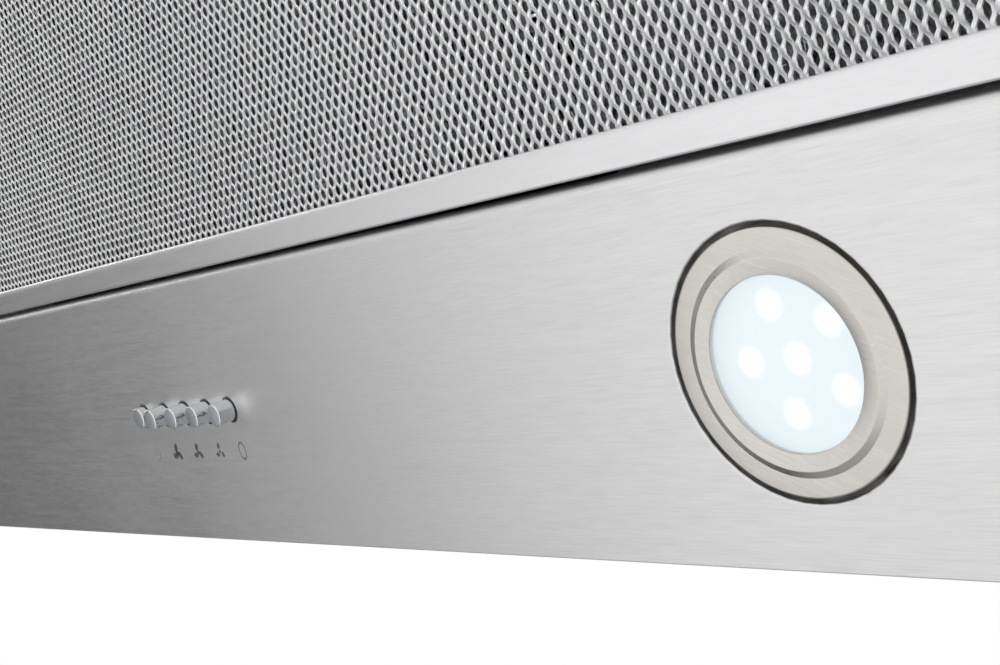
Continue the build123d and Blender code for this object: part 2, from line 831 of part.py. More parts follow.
# Wheel: forward-curved blades between two rims, carried by a drilled disc on the shaft
def blade_outline():
    start = Vector(wheel_inner_radius, 0)
    tip = Vector(wheel_radius - blade_tip_inset, 0).rotate(Axis.Z, blade_sweep)
    side_step = (tip - start).normalized().rotate(Axis.Z, 90) * (blade_thickness / 2)
    middle = (start + tip) / 2 - side_step * (2 * blade_bulge / blade_thickness)
    with BuildSketch() as blade:
        with BuildLine():
            front = ThreePointArc(start + side_step, middle + side_step, tip + side_step)
            back = ThreePointArc(start - side_step, middle - side_step, tip - side_step)
            Line(front @ 0, back @ 0)
            Line(front @ 1, back @ 1)
        make_face()
    return blade.sketch


with BuildPart() as wheel:
    with BuildSketch(wheel_plane(-wheel_half_length)):
        with PolarLocations(0, blade_count):
            add(blade_outline())
    extrude(amount=2 * wheel_half_length)
    with BuildSketch(wheel_plane(-wheel_half_length), wheel_plane(wheel_half_length - rim_width)):
        Circle(wheel_radius)
        Circle(wheel_radius - rim_depth, mode=Mode.SUBTRACT)
    extrude(amount=rim_width)
    with BuildSketch(wheel_plane(-hub_disc_thickness / 2)):
        Circle(wheel_radius - rim_depth)
        with PolarLocations(disc_hole_circle_radius, disc_hole_count):
            Circle(disc_hole_radius, mode=Mode.SUBTRACT)
    extrude(amount=hub_disc_thickness)
    with BuildSketch(wheel_plane(-hub_length / 2)):
        Circle(hub_radius)
    extrude(amount=hub_length)
    with BuildSketch(wheel_plane(-hub_length / 2)):
        Circle(shaft_radius)
    extrude(amount=hub_length, mode=Mode.SUBTRACT)
save(wheel, "wheel")

shaft_back_x = motor_back_x - motor_boss_length - shaft_overhang
shaft_front_x = hub_length / 2 + nut_length + shaft_end_length
with BuildPart() as motor_shaft:
    with BuildSketch(wheel_plane(shaft_back_x)):
        Circle(shaft_radius)
    extrude(amount=shaft_front_x - shaft_back_x)
    chamfer(motor_shaft.edges().filter_by(GeomType.CIRCLE), shaft_chamfer)
save(motor_shaft, "motor_shaft")

with BuildPart() as wheel_nut:
    with BuildSketch(wheel_plane(hub_length / 2)):
        RegularPolygon(nut_radius, 6)
        Circle(shaft_radius, mode=Mode.SUBTRACT)
    extrude(amount=nut_length)
save(wheel_nut, "wheel_nut")

# Motor: closed round case with bearing bosses and cooling slots, seen through the left inlet
with BuildPart() as motor:
    with BuildSketch(Plane.XZ.offset(-wheel_y)):
        with BuildLine():
            Polyline(
                (motor_back_x, wheel_z),
                (motor_back_x, wheel_z + motor_radius),
                (motor_front_x, wheel_z + motor_radius),
                (motor_front_x, wheel_z),
                close=True,
            )
        make_face()
    revolve(axis=wheel_axis)
    fillet(motor.edges().filter_by(GeomType.CIRCLE), motor_edge_radius)
    with BuildSketch(wheel_plane(motor_back_x - motor_boss_length)):
        Circle(motor_boss_radius)
    extrude(amount=motor_front_x - motor_back_x + 2 * motor_boss_length)
    with BuildSketch(wheel_plane(motor_front_x)):
        with PolarLocations(motor_slot_circle_radius, motor_slot_count):
            SlotOverall(motor_slot_length, motor_slot_width)
    extrude(amount=-motor_slot_depth, mode=Mode.SUBTRACT)
    with BuildSketch(wheel_plane((motor_front_x + motor_back_x) / 2 - motor_band_width / 2)):
        Circle(2 * motor_radius)
        Circle(motor_radius - motor_band_depth, mode=Mode.SUBTRACT)
    extrude(amount=motor_band_width, mode=Mode.SUBTRACT)
    with BuildSketch(wheel_plane(motor_back_x)):
        with PolarLocations(motor_screw_radius, arm_count, start_angle=arm_angle):
            Circle(screw_radius)
    extrude(amount=motor_screw_depth, mode=Mode.SUBTRACT)
    with BuildSketch(wheel_plane(motor_back_x - motor_boss_length)):
        Circle(shaft_radius + shaft_clearance)
    extrude(amount=motor_front_x - motor_back_x + 2 * motor_boss_length, mode=Mode.SUBTRACT)
save(motor, "motor")

# Motor bracket: ring behind the motor and three bent arms down to the left side of the scroll
foot_x = -scroll_half_width - grommet_thickness
arm_angles = [arm_angle + 360 / arm_count * place for place in range(arm_count)]
with BuildPart() as motor_bracket:
    with BuildSketch(wheel_plane(motor_back_x - arm_sheet)):
        Circle(arm_ring_outer)
        Circle(arm_ring_inner, mode=Mode.SUBTRACT)
    extrude(amount=arm_sheet)
    for angle in arm_angles:
        outward = Vector(0, cos(radians(angle)), sin(radians(angle)))
        arm_plane = Plane(
            origin=(0, wheel_y, wheel_z), x_dir=outward, z_dir=outward.rotate(Axis.X, 90)
        )
        with BuildSketch(arm_plane):
            with BuildLine():
                Polyline(
                    (arm_ring_inner + arm_sheet, -motor_back_x),
                    (arm_ring_inner + arm_sheet, arm_sheet - motor_back_x),
                    (arm_leg_radius + arm_sheet, arm_sheet - motor_back_x),
                    (arm_leg_radius + arm_sheet, arm_sheet - foot_x),
                    (arm_leg_radius + arm_seat_width, arm_sheet - foot_x),
                    (arm_leg_radius + arm_seat_width, -foot_x),
                    (arm_leg_radius, -foot_x),
                    (arm_leg_radius, -motor_back_x),
                    close=True,
                )
            make_face()
        extrude(amount=arm_width / 2, both=True)
    with BuildSketch(wheel_plane(motor_back_x - arm_sheet)):
        with PolarLocations(motor_screw_radius, arm_count, start_angle=arm_angle):
            Circle(screw_radius)
        with PolarLocations(arm_seat_radius, arm_count, start_angle=arm_angle):
            Circle(arm_screw_radius)
    extrude(amount=foot_x - motor_back_x + arm_sheet, mode=Mode.SUBTRACT)
save(motor_bracket, "motor_bracket")

with BuildPart() as motor_grommets:
    with BuildSketch(wheel_plane(foot_x)):
        with PolarLocations(arm_seat_radius, arm_count, start_angle=arm_angle):
            Circle(grommet_radius)
            Circle(arm_screw_radius, mode=Mode.SUBTRACT)
    extrude(amount=grommet_thickness)
save(motor_grommets, "motor_grommets")

with BuildPart() as bracket_screws:
    with BuildSketch(wheel_plane(foot_x - arm_sheet - arm_screw_head)):
        with PolarLocations(arm_seat_radius, arm_count, start_angle=arm_angle):
            Circle(arm_screw_head_radius)
    extrude(amount=arm_screw_head)
    with BuildSketch(wheel_plane(foot_x - arm_sheet)):
        with PolarLocations(arm_seat_radius, arm_count, start_angle=arm_angle):
            Circle(arm_screw_radius)
    extrude(amount=arm_sheet + grommet_thickness + scroll_sheet)
    with BuildSketch(wheel_plane(motor_back_x - arm_sheet - arm_screw_head)):
        with PolarLocations(motor_screw_radius, arm_count, start_angle=arm_angle):
            Circle(arm_screw_head_radius)
    extrude(amount=arm_screw_head)
    with BuildSketch(wheel_plane(motor_back_x - arm_sheet)):
        with PolarLocations(motor_screw_radius, arm_count, start_angle=arm_angle):
            Circle(screw_radius)
    extrude(amount=arm_sheet + motor_screw_depth)
save(bracket_screws, "bracket_screws")

# Outlet collar: flanged tube for the duct, with lugs for the flap axles and a ledge under the flaps
ledge_top_z = axle_z - flap_sheet / 2 - rest_gap
with BuildPart() as outlet_collar:
    with BuildSketch(Plane.XY.offset(tower_top_z)):
        with Locations((0, spigot_y)):
            RectangleRounded(collar_flange, collar_flange, collar_corner_radius)
            Circle(collar_inner_radius, mode=Mode.SUBTRACT)
        with Locations(*outlet_screw_places):
            Circle(screw_radius, mode=Mode.SUBTRACT)
    extrude(amount=collar_flange_sheet)
    with BuildSketch(Plane.XY.offset(tower_top_z)):
        with Locations((0, spigot_y)):
            Circle(collar_radius)
            Circle(collar_inner_radius, mode=Mode.SUBTRACT)
    extrude(amount=collar_height)
    with BuildSketch(Plane.XY.offset(ledge_top_z - collar_wall)):
        with Locations((0, spigot_y)):
            Circle(collar_inner_radius)
            Circle(collar_inner_radius - rest_ring_width, mode=Mode.SUBTRACT)
    extrude(amount=collar_wall)
    with BuildSketch(Plane.XY.offset(tower_top_z)):
        with Locations((0, spigot_y)):
            Rectangle(2 * collar_inner_radius, 2 * lug_half_width)
            Rectangle(2 * lug_inner_x, 2 * lug_half_width, mode=Mode.SUBTRACT)
        with Locations((0, spigot_y)):
            Circle(collar_inner_radius, mode=Mode.INTERSECT)
    extrude(amount=lug_height)
    with BuildSketch(across(-collar_inner_radius)):
        with Locations((spigot_y - axle_gap / 2, axle_z), (spigot_y + axle_gap / 2, axle_z)):
            Circle(axle_radius)
    extrude(amount=collar_inner_radius - lug_inner_x + lug_sink, mode=Mode.SUBTRACT)
    with BuildSketch(across(collar_inner_radius)):
        with Locations((spigot_y - axle_gap / 2, axle_z), (spigot_y + axle_gap / 2, axle_z)):
            Circle(axle_radius)
    extrude(amount=-(collar_inner_radius - lug_inner_x + lug_sink), mode=Mode.SUBTRACT)
save(outlet_collar, "outlet_collar")

with BuildPart() as damper_axles:
    with BuildSketch(across(-collar_inner_radius + lug_sink)):
        with Locations((spigot_y - axle_gap / 2, axle_z), (spigot_y + axle_gap / 2, axle_z)):
            Circle(axle_radius)
    extrude(amount=2 * (collar_inner_radius - lug_sink))
save(damper_axles, "damper_axles")

# Damper flaps: two half discs, each with its own axle, that lie on the ledge until the fan lifts them
for side, way in (("front", -1), ("rear", 1)):
    hinge_y = spigot_y + way * axle_gap / 2
    with BuildPart() as flap:
        with BuildSketch(Plane.XY.offset(axle_z - flap_sheet / 2)):
            with Locations((0, spigot_y)):
                Circle(flap_radius)
            with Locations((0, hinge_y - way * flap_radius)):
                Rectangle(2 * flap_radius, 2 * flap_radius, mode=Mode.SUBTRACT)
            for end in (-1, 1):
                with Locations((end * (flap_notch_x + flap_radius), spigot_y)):
                    Rectangle(2 * flap_radius, 2 * flap_notch_y, mode=Mode.SUBTRACT)
        extrude(amount=flap_sheet)
        with BuildSketch(across(-barrel_half_length)):
            with Locations((hinge_y, axle_z)):
                Circle(barrel_radius)
        extrude(amount=2 * barrel_half_length)
        with BuildSketch(across(-flap_radius)):
            with Locations((hinge_y, axle_z)):
                Circle(axle_radius + pivot_clearance)
        extrude(amount=2 * flap_radius, mode=Mode.SUBTRACT)
    save(flap, f"damper_flap_{side}")

with BuildPart() as outlet_screws:
    with BuildSketch(Plane.XY.offset(tower_top_z + collar_flange_sheet)):
        with Locations(*outlet_screw_places):
            Circle(screw_head_radius)
    extrude(amount=screw_head_height)
    fillet(outlet_screws.edges().group_by(Axis.Z)[-1], screw_head_height / 2)
    with BuildSketch(Plane.XY.offset(tower_top_z + collar_flange_sheet)):
        with Locations(*outlet_screw_places):
            Circle(screw_radius)
    extrude(amount=-(collar_flange_sheet + sheet + tab_sheet))
save(outlet_screws, "outlet_screws")

# Terminal box with its lid and terminal block, on the tower's right wall
wall_x = tower_length / 2 - sheet
box_front_x = wall_x - box_depth
with BuildPart() as terminal_box:
    with BuildSketch(across(wall_x)):
        with Locations((box_y, box_z)):
            RectangleRounded(box_length, box_height, 2 * box_wall)
    extrude(amount=-box_depth)
    with BuildSketch(across(wall_x - box_wall)):
        with Locations((box_y, box_z)):
            RectangleRounded(box_length - 2 * box_wall, box_height - 2 * box_wall, box_wall)
    extrude(amount=-box_depth, mode=Mode.SUBTRACT)
save(terminal_box, "terminal_box")

with BuildPart() as terminal_box_lid:
    with BuildSketch(across(box_front_x)):
        with Locations((box_y, box_z)):
            RectangleRounded(box_length, box_height, 2 * box_wall)
    extrude(amount=-box_lid_thickness)
    fillet(terminal_box_lid.edges().group_by(Axis.X)[0], box_wall / 2)
    with BuildSketch(across(box_front_x)):
        with Locations((box_y, box_z)):
            RectangleRounded(
                box_length - 2 * box_wall - 2 * flange_clearance,
                box_height - 2 * box_wall - 2 * flange_clearance,
                box_wall,
            )
            RectangleRounded(
                box_length - 4 * box_wall, box_height - 4 * box_wall, box_wall, mode=Mode.SUBTRACT
            )
    extrude(amount=box_wall)
save(terminal_box_lid, "terminal_box_lid")

with BuildPart() as terminal_block:
    with BuildSketch(across(wall_x - box_wall)):
        with Locations((box_y, box_z)):
            Rectangle(block_poles * block_pitch, block_width)
            with GridLocations(block_pitch, block_width, block_poles - 1, 2):
                Rectangle(block_pitch / 5, block_width / 4, mode=Mode.SUBTRACT)
    extrude(amount=-block_height)
    with BuildSketch(across(wall_x - box_wall - block_height)):
        with Locations((box_y, box_z)):
            with GridLocations(block_pitch, block_width / 2, block_poles, 2):
                Circle(block_pitch / 4)
    extrude(amount=block_height / 4, mode=Mode.SUBTRACT)
save(terminal_block, "terminal_block")

# Motor capacitor and its strap, on the same wall
capacitor_x = wall_x - capacitor_radius - capacitor_gap
with BuildPart() as capacitor:
    with BuildSketch(Plane.XY.offset(capacitor_z - capacitor_length / 2)):
        with Locations((capacitor_x, capacitor_y)):
            Circle(capacitor_radius)
    extrude(amount=capacitor_length)
    fillet(capacitor.edges().group_by(Axis.Z)[0], capacitor_edge_radius)
    with BuildSketch(Plane.XY.offset(capacitor_z + capacitor_length / 2)):
        with Locations((capacitor_x, capacitor_y)):
            with GridLocations(0, capacitor_radius, 1, 2):
                Rectangle(strap_sheet, capacitor_radius / 2)
    extrude(amount=capacitor_radius / 2)
save(capacitor, "capacitor")

with BuildPart() as capacitor_strap:
    with BuildSketch(Plane.XY.offset(capacitor_z - strap_width / 2)):
        with Locations((capacitor_x, capacitor_y)):
            Circle(capacitor_radius + strap_sheet)
        with Locations(((capacitor_x + wall_x) / 2, capacitor_y)):
            Rectangle(wall_x - capacitor_x, 2 * (capacitor_radius + strap_sheet))
        with Locations((wall_x - strap_sheet / 2, capacitor_y)):
            Rectangle(strap_sheet, 2 * (capacitor_radius + strap_width))
        with Locations((capacitor_x, capacitor_y)):
            Circle(capacitor_radius, mode=Mode.SUBTRACT)
        with Locations(((capacitor_x + wall_x) / 2, capacitor_y)):
            Rectangle(wall_x - capacitor_x, 2 * capacitor_radius, mode=Mode.SUBTRACT)
    extrude(amount=strap_width)
save(capacitor_strap, "capacitor_strap")

# Cable gland through the same wall: flanged body outside, locknut inside
with BuildPart() as cable_gland:
    with BuildSketch(across(tower_length / 2)):
        with Locations((gland_y, gland_z)):
            RegularPolygon(gland_flange_radius, 6)
    extrude(amount=gland_length / 4)
    with BuildSketch(across(wall_x)):
        with Locations((gland_y, gland_z)):
            RegularPolygon(gland_flange_radius, 6)
    extrude(amount=-gland_length / 4)
    with BuildSketch(across(wall_x - gland_length / 4)):
        with Locations((gland_y, gland_z)):
            Circle(gland_radius)
    extrude(amount=gland_length + sheet)
    fillet(cable_gland.edges().group_by(Axis.X)[-1], gland_radius / 4)
    with BuildSketch(across(wall_x - gland_length / 4)):
        with Locations((gland_y, gland_z)):
            Circle(gland_bore_radius)
    extrude(amount=gland_length + sheet, mode=Mode.SUBTRACT)
save(cable_gland, "cable_gland")

# Side clips: bowed spring strips riveted to the canopy's ends
clip_middles = [canopy_middle_y - clip_y, canopy_middle_y + clip_y]
rivet_z = clip_top_z - 2 * rivet_radius
with BuildPart() as side_clips:
    for way in (-1, 1):
        clip_x = way * (canopy_length / 2 + clip_sheet / 2)
        for middle in clip_middles:
            with BuildSketch(along(middle + clip_width / 2)):
                with BuildLine():
                    seat = Line((clip_x, clip_top_z), (clip_x, clip_top_z - 4 * rivet_radius))
                    ThreePointArc(
                        seat @ 1,
                        (clip_x + way * clip_bow, (clip_top_z + clip_bottom_z) / 2 - rivet_radius),
                        (clip_x + way * clip_sheet, clip_bottom_z),
                    )
                trace(line_width=clip_sheet)
            extrude(amount=clip_width)
        with BuildSketch(across(way * canopy_length / 2)):
            with Locations(*[(middle, rivet_z) for middle in clip_middles]):
                with GridLocations(clip_width / 2, 0, 2, 1):
                    Circle(rivet_radius)
        extrude(amount=way * clip_sheet, mode=Mode.SUBTRACT)
save(side_clips, "side_clips")

with BuildPart() as clip_rivets:
    for way in (-1, 1):
        with BuildSketch(across(way * (canopy_length / 2 + clip_sheet))):
            with Locations(*[(middle, rivet_z) for middle in clip_middles]):
                with GridLocations(clip_width / 2, 0, 2, 1):
                    Circle(rivet_head_radius)
        extrude(amount=way * rivet_head)
        with BuildSketch(across(way * canopy_length / 2)):
            with Locations(*[(middle, rivet_z) for middle in clip_middles]):
                with GridLocations(clip_width / 2, 0, 2, 1):
                    Circle(rivet_radius)
        extrude(amount=way * clip_sheet)
save(clip_rivets, "clip_rivets")

# Grease filter: folded frame of channel section round two expanded meshes and two inner layers
filter_middle_y = (filter_front_y + filter_back_y) / 2
channel_floor_z = face_z + frame_sheet
channel_roof_z = filter_top_z - frame_sheet
latch_places = (-latch_x, latch_x)
housing_back_y = filter_back_y - frame_sheet
housing_front_y = filter_back_y - frame_face_width - latch_recess_depth - latch_wall
housing_depth = housing_back_y - housing_front_y
housing_middle_y = (housing_front_y + housing_back_y) / 2
housing_top_z = channel_roof_z - mesh_sheet
latch_plate_z = face_z + latch_floor
latch_top_z = latch_plate_z + latch_plate_thickness
with BuildPart() as filter_frame:
    with BuildSketch(Plane.XY.offset(face_z)):
        with Locations((0, filter_middle_y)):
            Rectangle(filter_length, filter_depth)
            Rectangle(
                filter_length - 2 * frame_face_width,
                filter_depth - 2 * frame_face_width,
                mode=Mode.SUBTRACT,
            )
    extrude(amount=filter_thickness)
    with BuildSketch(Plane.XY.offset(channel_floor_z)):
        with Locations((0, filter_middle_y)):
            Rectangle(filter_length - 2 * frame_sheet, filter_depth - 2 * frame_sheet)
    extrude(amount=channel_roof_z - channel_floor_z, mode=Mode.SUBTRACT)
    fillet(filter_frame.edges().group_by(Axis.Z)[0], frame_edge_radius)
    with BuildSketch(across(-filter_length / 2)):
        with Locations((pivot_y, pivot_z)):
            Circle(pivot_radius)
    extrude(amount=filter_length, mode=Mode.SUBTRACT)
    with BuildSketch(along(filter_back_y)):
        with Locations(*[(x, (latch_plate_z + latch_top_z) / 2) for x in latch_places]):
            Rectangle(
                latch_plate_width + 2 * latch_clearance, latch_plate_thickness + 2 * latch_clearance
            )
    extrude(amount=frame_sheet, mode=Mode.SUBTRACT)
save(filter_frame, "filter_frame")


def net(name, levels, columns, rows, strand, thickness):
    # Flat nets with diamond gaps in two staggered grids, notched for the latch housings.
    edge_length = filter_length - 2 * frame_sheet - 2 * latch_clearance
    edge_depth = filter_depth - 2 * frame_sheet - 2 * latch_clearance
    pitch_x = (filter_length - 2 * frame_face_width - mesh_margin) / columns
    pitch_y = (filter_depth - 2 * frame_face_width - mesh_margin) / rows
    gap = [
        (pitch_x / 2 - strand, 0),
        (0, pitch_y / 2 - strand),
        (strand - pitch_x / 2, 0),
        (0, strand - pitch_y / 2),
    ]
    with BuildPart() as sheet_net:
        for low_z in levels:
            with BuildSketch(Plane.XY.offset(low_z)):
                with Locations((0, filter_middle_y)):
                    Rectangle(edge_length, edge_depth)
                    with GridLocations(pitch_x, pitch_y, columns, rows):
                        Polygon(*gap, mode=Mode.SUBTRACT)
                    with GridLocations(pitch_x, pitch_y, columns - 1, rows - 1):
                        Polygon(*gap, mode=Mode.SUBTRACT)
                if low_z < housing_top_z:
                    with Locations(*[(x, housing_middle_y) for x in latch_places]):
                        Rectangle(
                            latch_housing_length + 2 * latch_clearance,
                            housing_depth + 2 * latch_clearance,
                            mode=Mode.SUBTRACT,
                        )
            extrude(amount=thickness)
    save(sheet_net, name)


layer_space = (housing_top_z - channel_floor_z - mesh_sheet) / (layer_count + 1)
layer_levels = [
    channel_floor_z + mesh_sheet + (place + 1) * layer_space - layer_thickness / 2
    for place in range(layer_count)
]
net("filter_mesh_front", [channel_floor_z], mesh_columns, mesh_rows, mesh_strand, mesh_sheet)
net("filter_mesh_rear", [housing_top_z], layer_columns, mesh_rows, mesh_strand, mesh_sheet)
net("filter_layers", layer_levels, layer_columns, mesh_rows, layer_strand, layer_thickness)

with BuildPart() as hinge_pins:
    for way in (-1, 1):
        with BuildSketch(across(way * (filter_length / 2 + pivot_outside))):
            with Locations((pivot_y, pivot_z)):
                Circle(pivot_radius)
        extrude(amount=-way * (pivot_outside + frame_sheet))
        with BuildSketch(across(way * filter_length / 2)):
            with Locations((pivot_y, pivot_z)):
                Circle(pivot_shoulder_radius)
        extrude(amount=way * pivot_shoulder_length)
save(hinge_pins, "hinge_pins")

# Latches: housings with a finger recess, sliding tongues with a grip, and bowed leaf springs
grip_back_y = filter_back_y - frame_face_width - latch_grip_inset
tongue_end_y = opening_back_y + latch_reach
tongue_slot_width = latch_plate_width + 2 * latch_clearance
tongue_slot_height = latch_plate_thickness + 2 * latch_clearance
tongue_middle_z = (latch_plate_z + latch_top_z) / 2
with BuildPart() as latch_housings:
    with BuildSketch(Plane.XY.offset(channel_floor_z)):
        with Locations(*[(x, housing_middle_y) for x in latch_places]):
            Rectangle(latch_housing_length, housing_depth)
    extrude(amount=housing_top_z - channel_floor_z)
    with BuildSketch(Plane.XY.offset(channel_floor_z + latch_wall)):
        with Locations(*[(x, housing_middle_y) for x in latch_places]):
            Rectangle(latch_housing_length - 2 * latch_wall, housing_depth - 2 * latch_wall)
    extrude(amount=housing_top_z - channel_floor_z - 2 * latch_wall, mode=Mode.SUBTRACT)
    with BuildSketch(Plane.XY.offset(channel_floor_z)):
        with Locations(*[(x, housing_front_y + latch_wall + latch_recess_depth / 2) for x in latch_places]):
            Rectangle(latch_recess_length, latch_recess_depth)
    extrude(amount=latch_wall, mode=Mode.SUBTRACT)
    with BuildSketch(along(housing_back_y)):
        with Locations(*[(x, tongue_middle_z) for x in latch_places]):
            Rectangle(tongue_slot_width, tongue_slot_height)
    extrude(amount=latch_wall, mode=Mode.SUBTRACT)
save(latch_housings, "latch_housings")

for side, place_x in zip(("left", "right"), latch_places):
    with BuildPart() as latch:
        with BuildSketch(Plane.XY.offset(latch_plate_z)):
            with Locations((place_x, (grip_back_y - latch_grip_thickness + tongue_end_y) / 2)):
                Rectangle(latch_plate_width, tongue_end_y - grip_back_y + latch_grip_thickness)
        extrude(amount=latch_plate_thickness)
        with BuildSketch(Plane.XY.offset(face_z + latch_clearance)):
            with Locations((place_x, grip_back_y - latch_grip_thickness / 2)):
                Rectangle(latch_grip_length, latch_grip_thickness)
        extrude(amount=latch_top_z - face_z - latch_clearance)
        fillet(latch.edges().filter_by(Axis.X).group_by(Axis.Z)[0], latch_grip_thickness / 4)
        with BuildSketch(Plane.XY.offset(latch_top_z)):
            with Locations((place_x, grip_back_y - latch_lug_thickness / 2)):
                Rectangle(latch_lug_length, latch_lug_thickness)
        extrude(amount=spring_height)
    save(latch, f"latch_{side}")

    spring_back_y = grip_back_y - latch_lug_thickness - spring_clearance
    spring_front_y = housing_front_y + latch_wall + spring_sheet / 2
    with BuildPart() as latch_spring:
        with BuildSketch(Plane.XY.offset(latch_top_z + spring_clearance)):
            with BuildLine():
                ThreePointArc(
                    (place_x - spring_half_length, spring_front_y),
                    (place_x, spring_back_y - spring_sheet / 2),
                    (place_x + spring_half_length, spring_front_y),
                )
            trace(line_width=spring_sheet)
        extrude(amount=spring_height - 2 * spring_clearance)
    save(latch_spring, f"latch_spring_{side}")
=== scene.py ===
import json
import random
from math import cos, pi, radians, sin, tan

import bmesh
import bpy
from mathutils import Matrix, Vector, noise

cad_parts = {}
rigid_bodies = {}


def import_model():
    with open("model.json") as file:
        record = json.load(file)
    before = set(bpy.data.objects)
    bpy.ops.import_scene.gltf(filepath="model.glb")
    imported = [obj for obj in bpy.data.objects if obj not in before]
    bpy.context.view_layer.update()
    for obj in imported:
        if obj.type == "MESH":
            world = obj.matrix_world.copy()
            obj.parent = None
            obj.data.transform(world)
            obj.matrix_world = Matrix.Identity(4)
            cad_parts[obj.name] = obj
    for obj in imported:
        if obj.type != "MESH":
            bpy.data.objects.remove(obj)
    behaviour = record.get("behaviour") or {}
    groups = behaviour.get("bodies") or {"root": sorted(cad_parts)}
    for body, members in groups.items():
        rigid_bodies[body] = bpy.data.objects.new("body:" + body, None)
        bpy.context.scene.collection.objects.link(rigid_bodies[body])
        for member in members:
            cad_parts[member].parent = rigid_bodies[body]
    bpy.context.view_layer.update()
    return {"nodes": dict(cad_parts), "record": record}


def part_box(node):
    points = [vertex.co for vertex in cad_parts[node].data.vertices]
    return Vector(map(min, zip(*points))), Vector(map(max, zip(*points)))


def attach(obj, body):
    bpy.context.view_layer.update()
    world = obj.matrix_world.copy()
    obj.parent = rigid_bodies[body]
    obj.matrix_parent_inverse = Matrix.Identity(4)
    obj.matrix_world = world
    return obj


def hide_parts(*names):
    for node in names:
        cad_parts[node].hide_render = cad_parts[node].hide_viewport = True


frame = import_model()
nodes = frame["nodes"]
mm = 0.001
white = (1, 1, 1, 1)

# X runs along the hood, Y from its front edge to the wall, Z up; everything is in metres


# Shader maths


class Signal:
    # a socket that takes part in Python expressions
    def __init__(self, graph, socket):
        self.graph = graph
        self.socket = socket

    def maths(self, operation, first, second):
        return self.graph.node("ShaderNodeMath", {"operation": operation}, {0: first, 1: second})

    def __add__(self, other):
        return self.maths("ADD", self, other)

    def __radd__(self, other):
        return self.maths("ADD", other, self)

    def __sub__(self, other):
        return self.maths("SUBTRACT", self, other)

    def __rsub__(self, other):
        return self.maths("SUBTRACT", other, self)

    def __mul__(self, other):
        return self.maths("MULTIPLY", self, other)

    def __rmul__(self, other):
        return self.maths("MULTIPLY", other, self)


class Graph:
    # the nodes of one material or of the world
    def __init__(self, tree):
        self.tree = tree

    def node(self, kind, settings=None, inputs=None, output=0):
        made = self.tree.nodes.new(kind)
        for key, value in (settings or {}).items():
            setattr(made, key, value)
        for key, value in (inputs or {}).items():
            self.feed(made.inputs[key], value)
        return Signal(self, made.outputs[output])

    def feed(self, socket, value):
        if isinstance(value, Signal):
            self.tree.links.new(value.socket, socket)
        else:
            socket.default_value = value


class Finish(Graph):
    # a material built round one Principled shader
    def __init__(self, name, **fixed):
        self.material = bpy.data.materials.new(name)
        self.material.use_nodes = True
        super().__init__(self.material.node_tree)
        self.shader = self.tree.nodes["Principled BSDF"]
        self.surface = self.tree.nodes["Material Output"].inputs["Surface"]
        self.drive(**fixed)

    def drive(self, **sockets):
        for name, value in sockets.items():
            self.feed(self.shader.inputs[name.replace("_", " ")], value)

    def place(self):
        return self.node("ShaderNodeTexCoord", output="Object")

    def stretched(self, scale, turn=0.0):
        # object place, turned about Z and scaled axis by axis
        turned = self.node(
            "ShaderNodeVectorRotate",
            {"rotation_type": "Z_AXIS"},
            {"Vector": self.place(), "Angle": turn},
        )
        return self.node("ShaderNodeVectorMath", {"operation": "MULTIPLY"}, {0: turned, 1: scale})

    def noise(self, vector, scale=1.0, detail=3.0):
        return self.node(
            "ShaderNodeTexNoise",
            {"noise_dimensions": "3D"},
            {"Vector": vector, "Scale": scale, "Detail": detail, "Roughness": 0.55},
        )

    def ramp(self, value, low, high, start=0.0, end=1.0):
        return self.node(
            "ShaderNodeMapRange",
            {"clamp": True},
            {"Value": value, "From Min": low, "From Max": high, "To Min": start, "To Max": end},
        )

    def blend(self, factor, first, second):
        # from the first colour to the second
        return self.node(
            "ShaderNodeMix",
            {"data_type": "RGBA"},
            {0: factor, 6: (*first, 1), 7: (*second, 1)},
            output=2,
        )

    def bump(self, height, strength, distance):
        relief = self.node(
            "ShaderNodeBump", {}, {"Strength": strength, "Distance": distance, "Height": height}
        )
        self.drive(Normal=relief)


def shaded(colour, factor):
    return tuple(min(1.0, channel * factor) for channel in colour)


brushing = {
    "length": 90,
    "fineness": 2600,
    "broadLength": 18,
    "broadFineness": 2600 / 7,
    "cloud": (9, 14, 14),
    "relief": 0.12,
    "depth": 0.02 * mm,
}


def brushedMetal(name, colour, roughness, along=(1, 0), contrast=0.05):
    # fine streaks that run along one direction in the plate's plane
    size = brushing
    metal = Finish(name, Metallic=1.0)
    turn = Vector((1, 0)).angle_signed(Vector(along)) if along != (1, 0) else 0.0
    across = size["fineness"]
    fine = metal.noise(metal.stretched((size["length"], across, across), turn), detail=2.0)
    across = size["broadFineness"]
    broad = metal.noise(metal.stretched((size["broadLength"], across, across), turn), detail=2.0)
    cloud = metal.noise(metal.stretched(size["cloud"]), detail=2.0)
    streak = fine * 0.75 + broad * 0.25
    metal.drive(
        Base_Color=metal.blend(
            metal.ramp(streak, 0.3, 0.7), shaded(colour, 1 - contrast), shaded(colour, 1 + contrast)
        ),
        Roughness=metal.ramp(streak + cloud * 0.3, 0.4, 0.9, roughness + 0.05, roughness - 0.05),
    )
    metal.bump(streak, size["relief"], size["depth"])
    return metal.material


spangle = {"crystals": 140.0, "haze": 38.0, "relief": 0.06, "depth": 0.2 * mm}


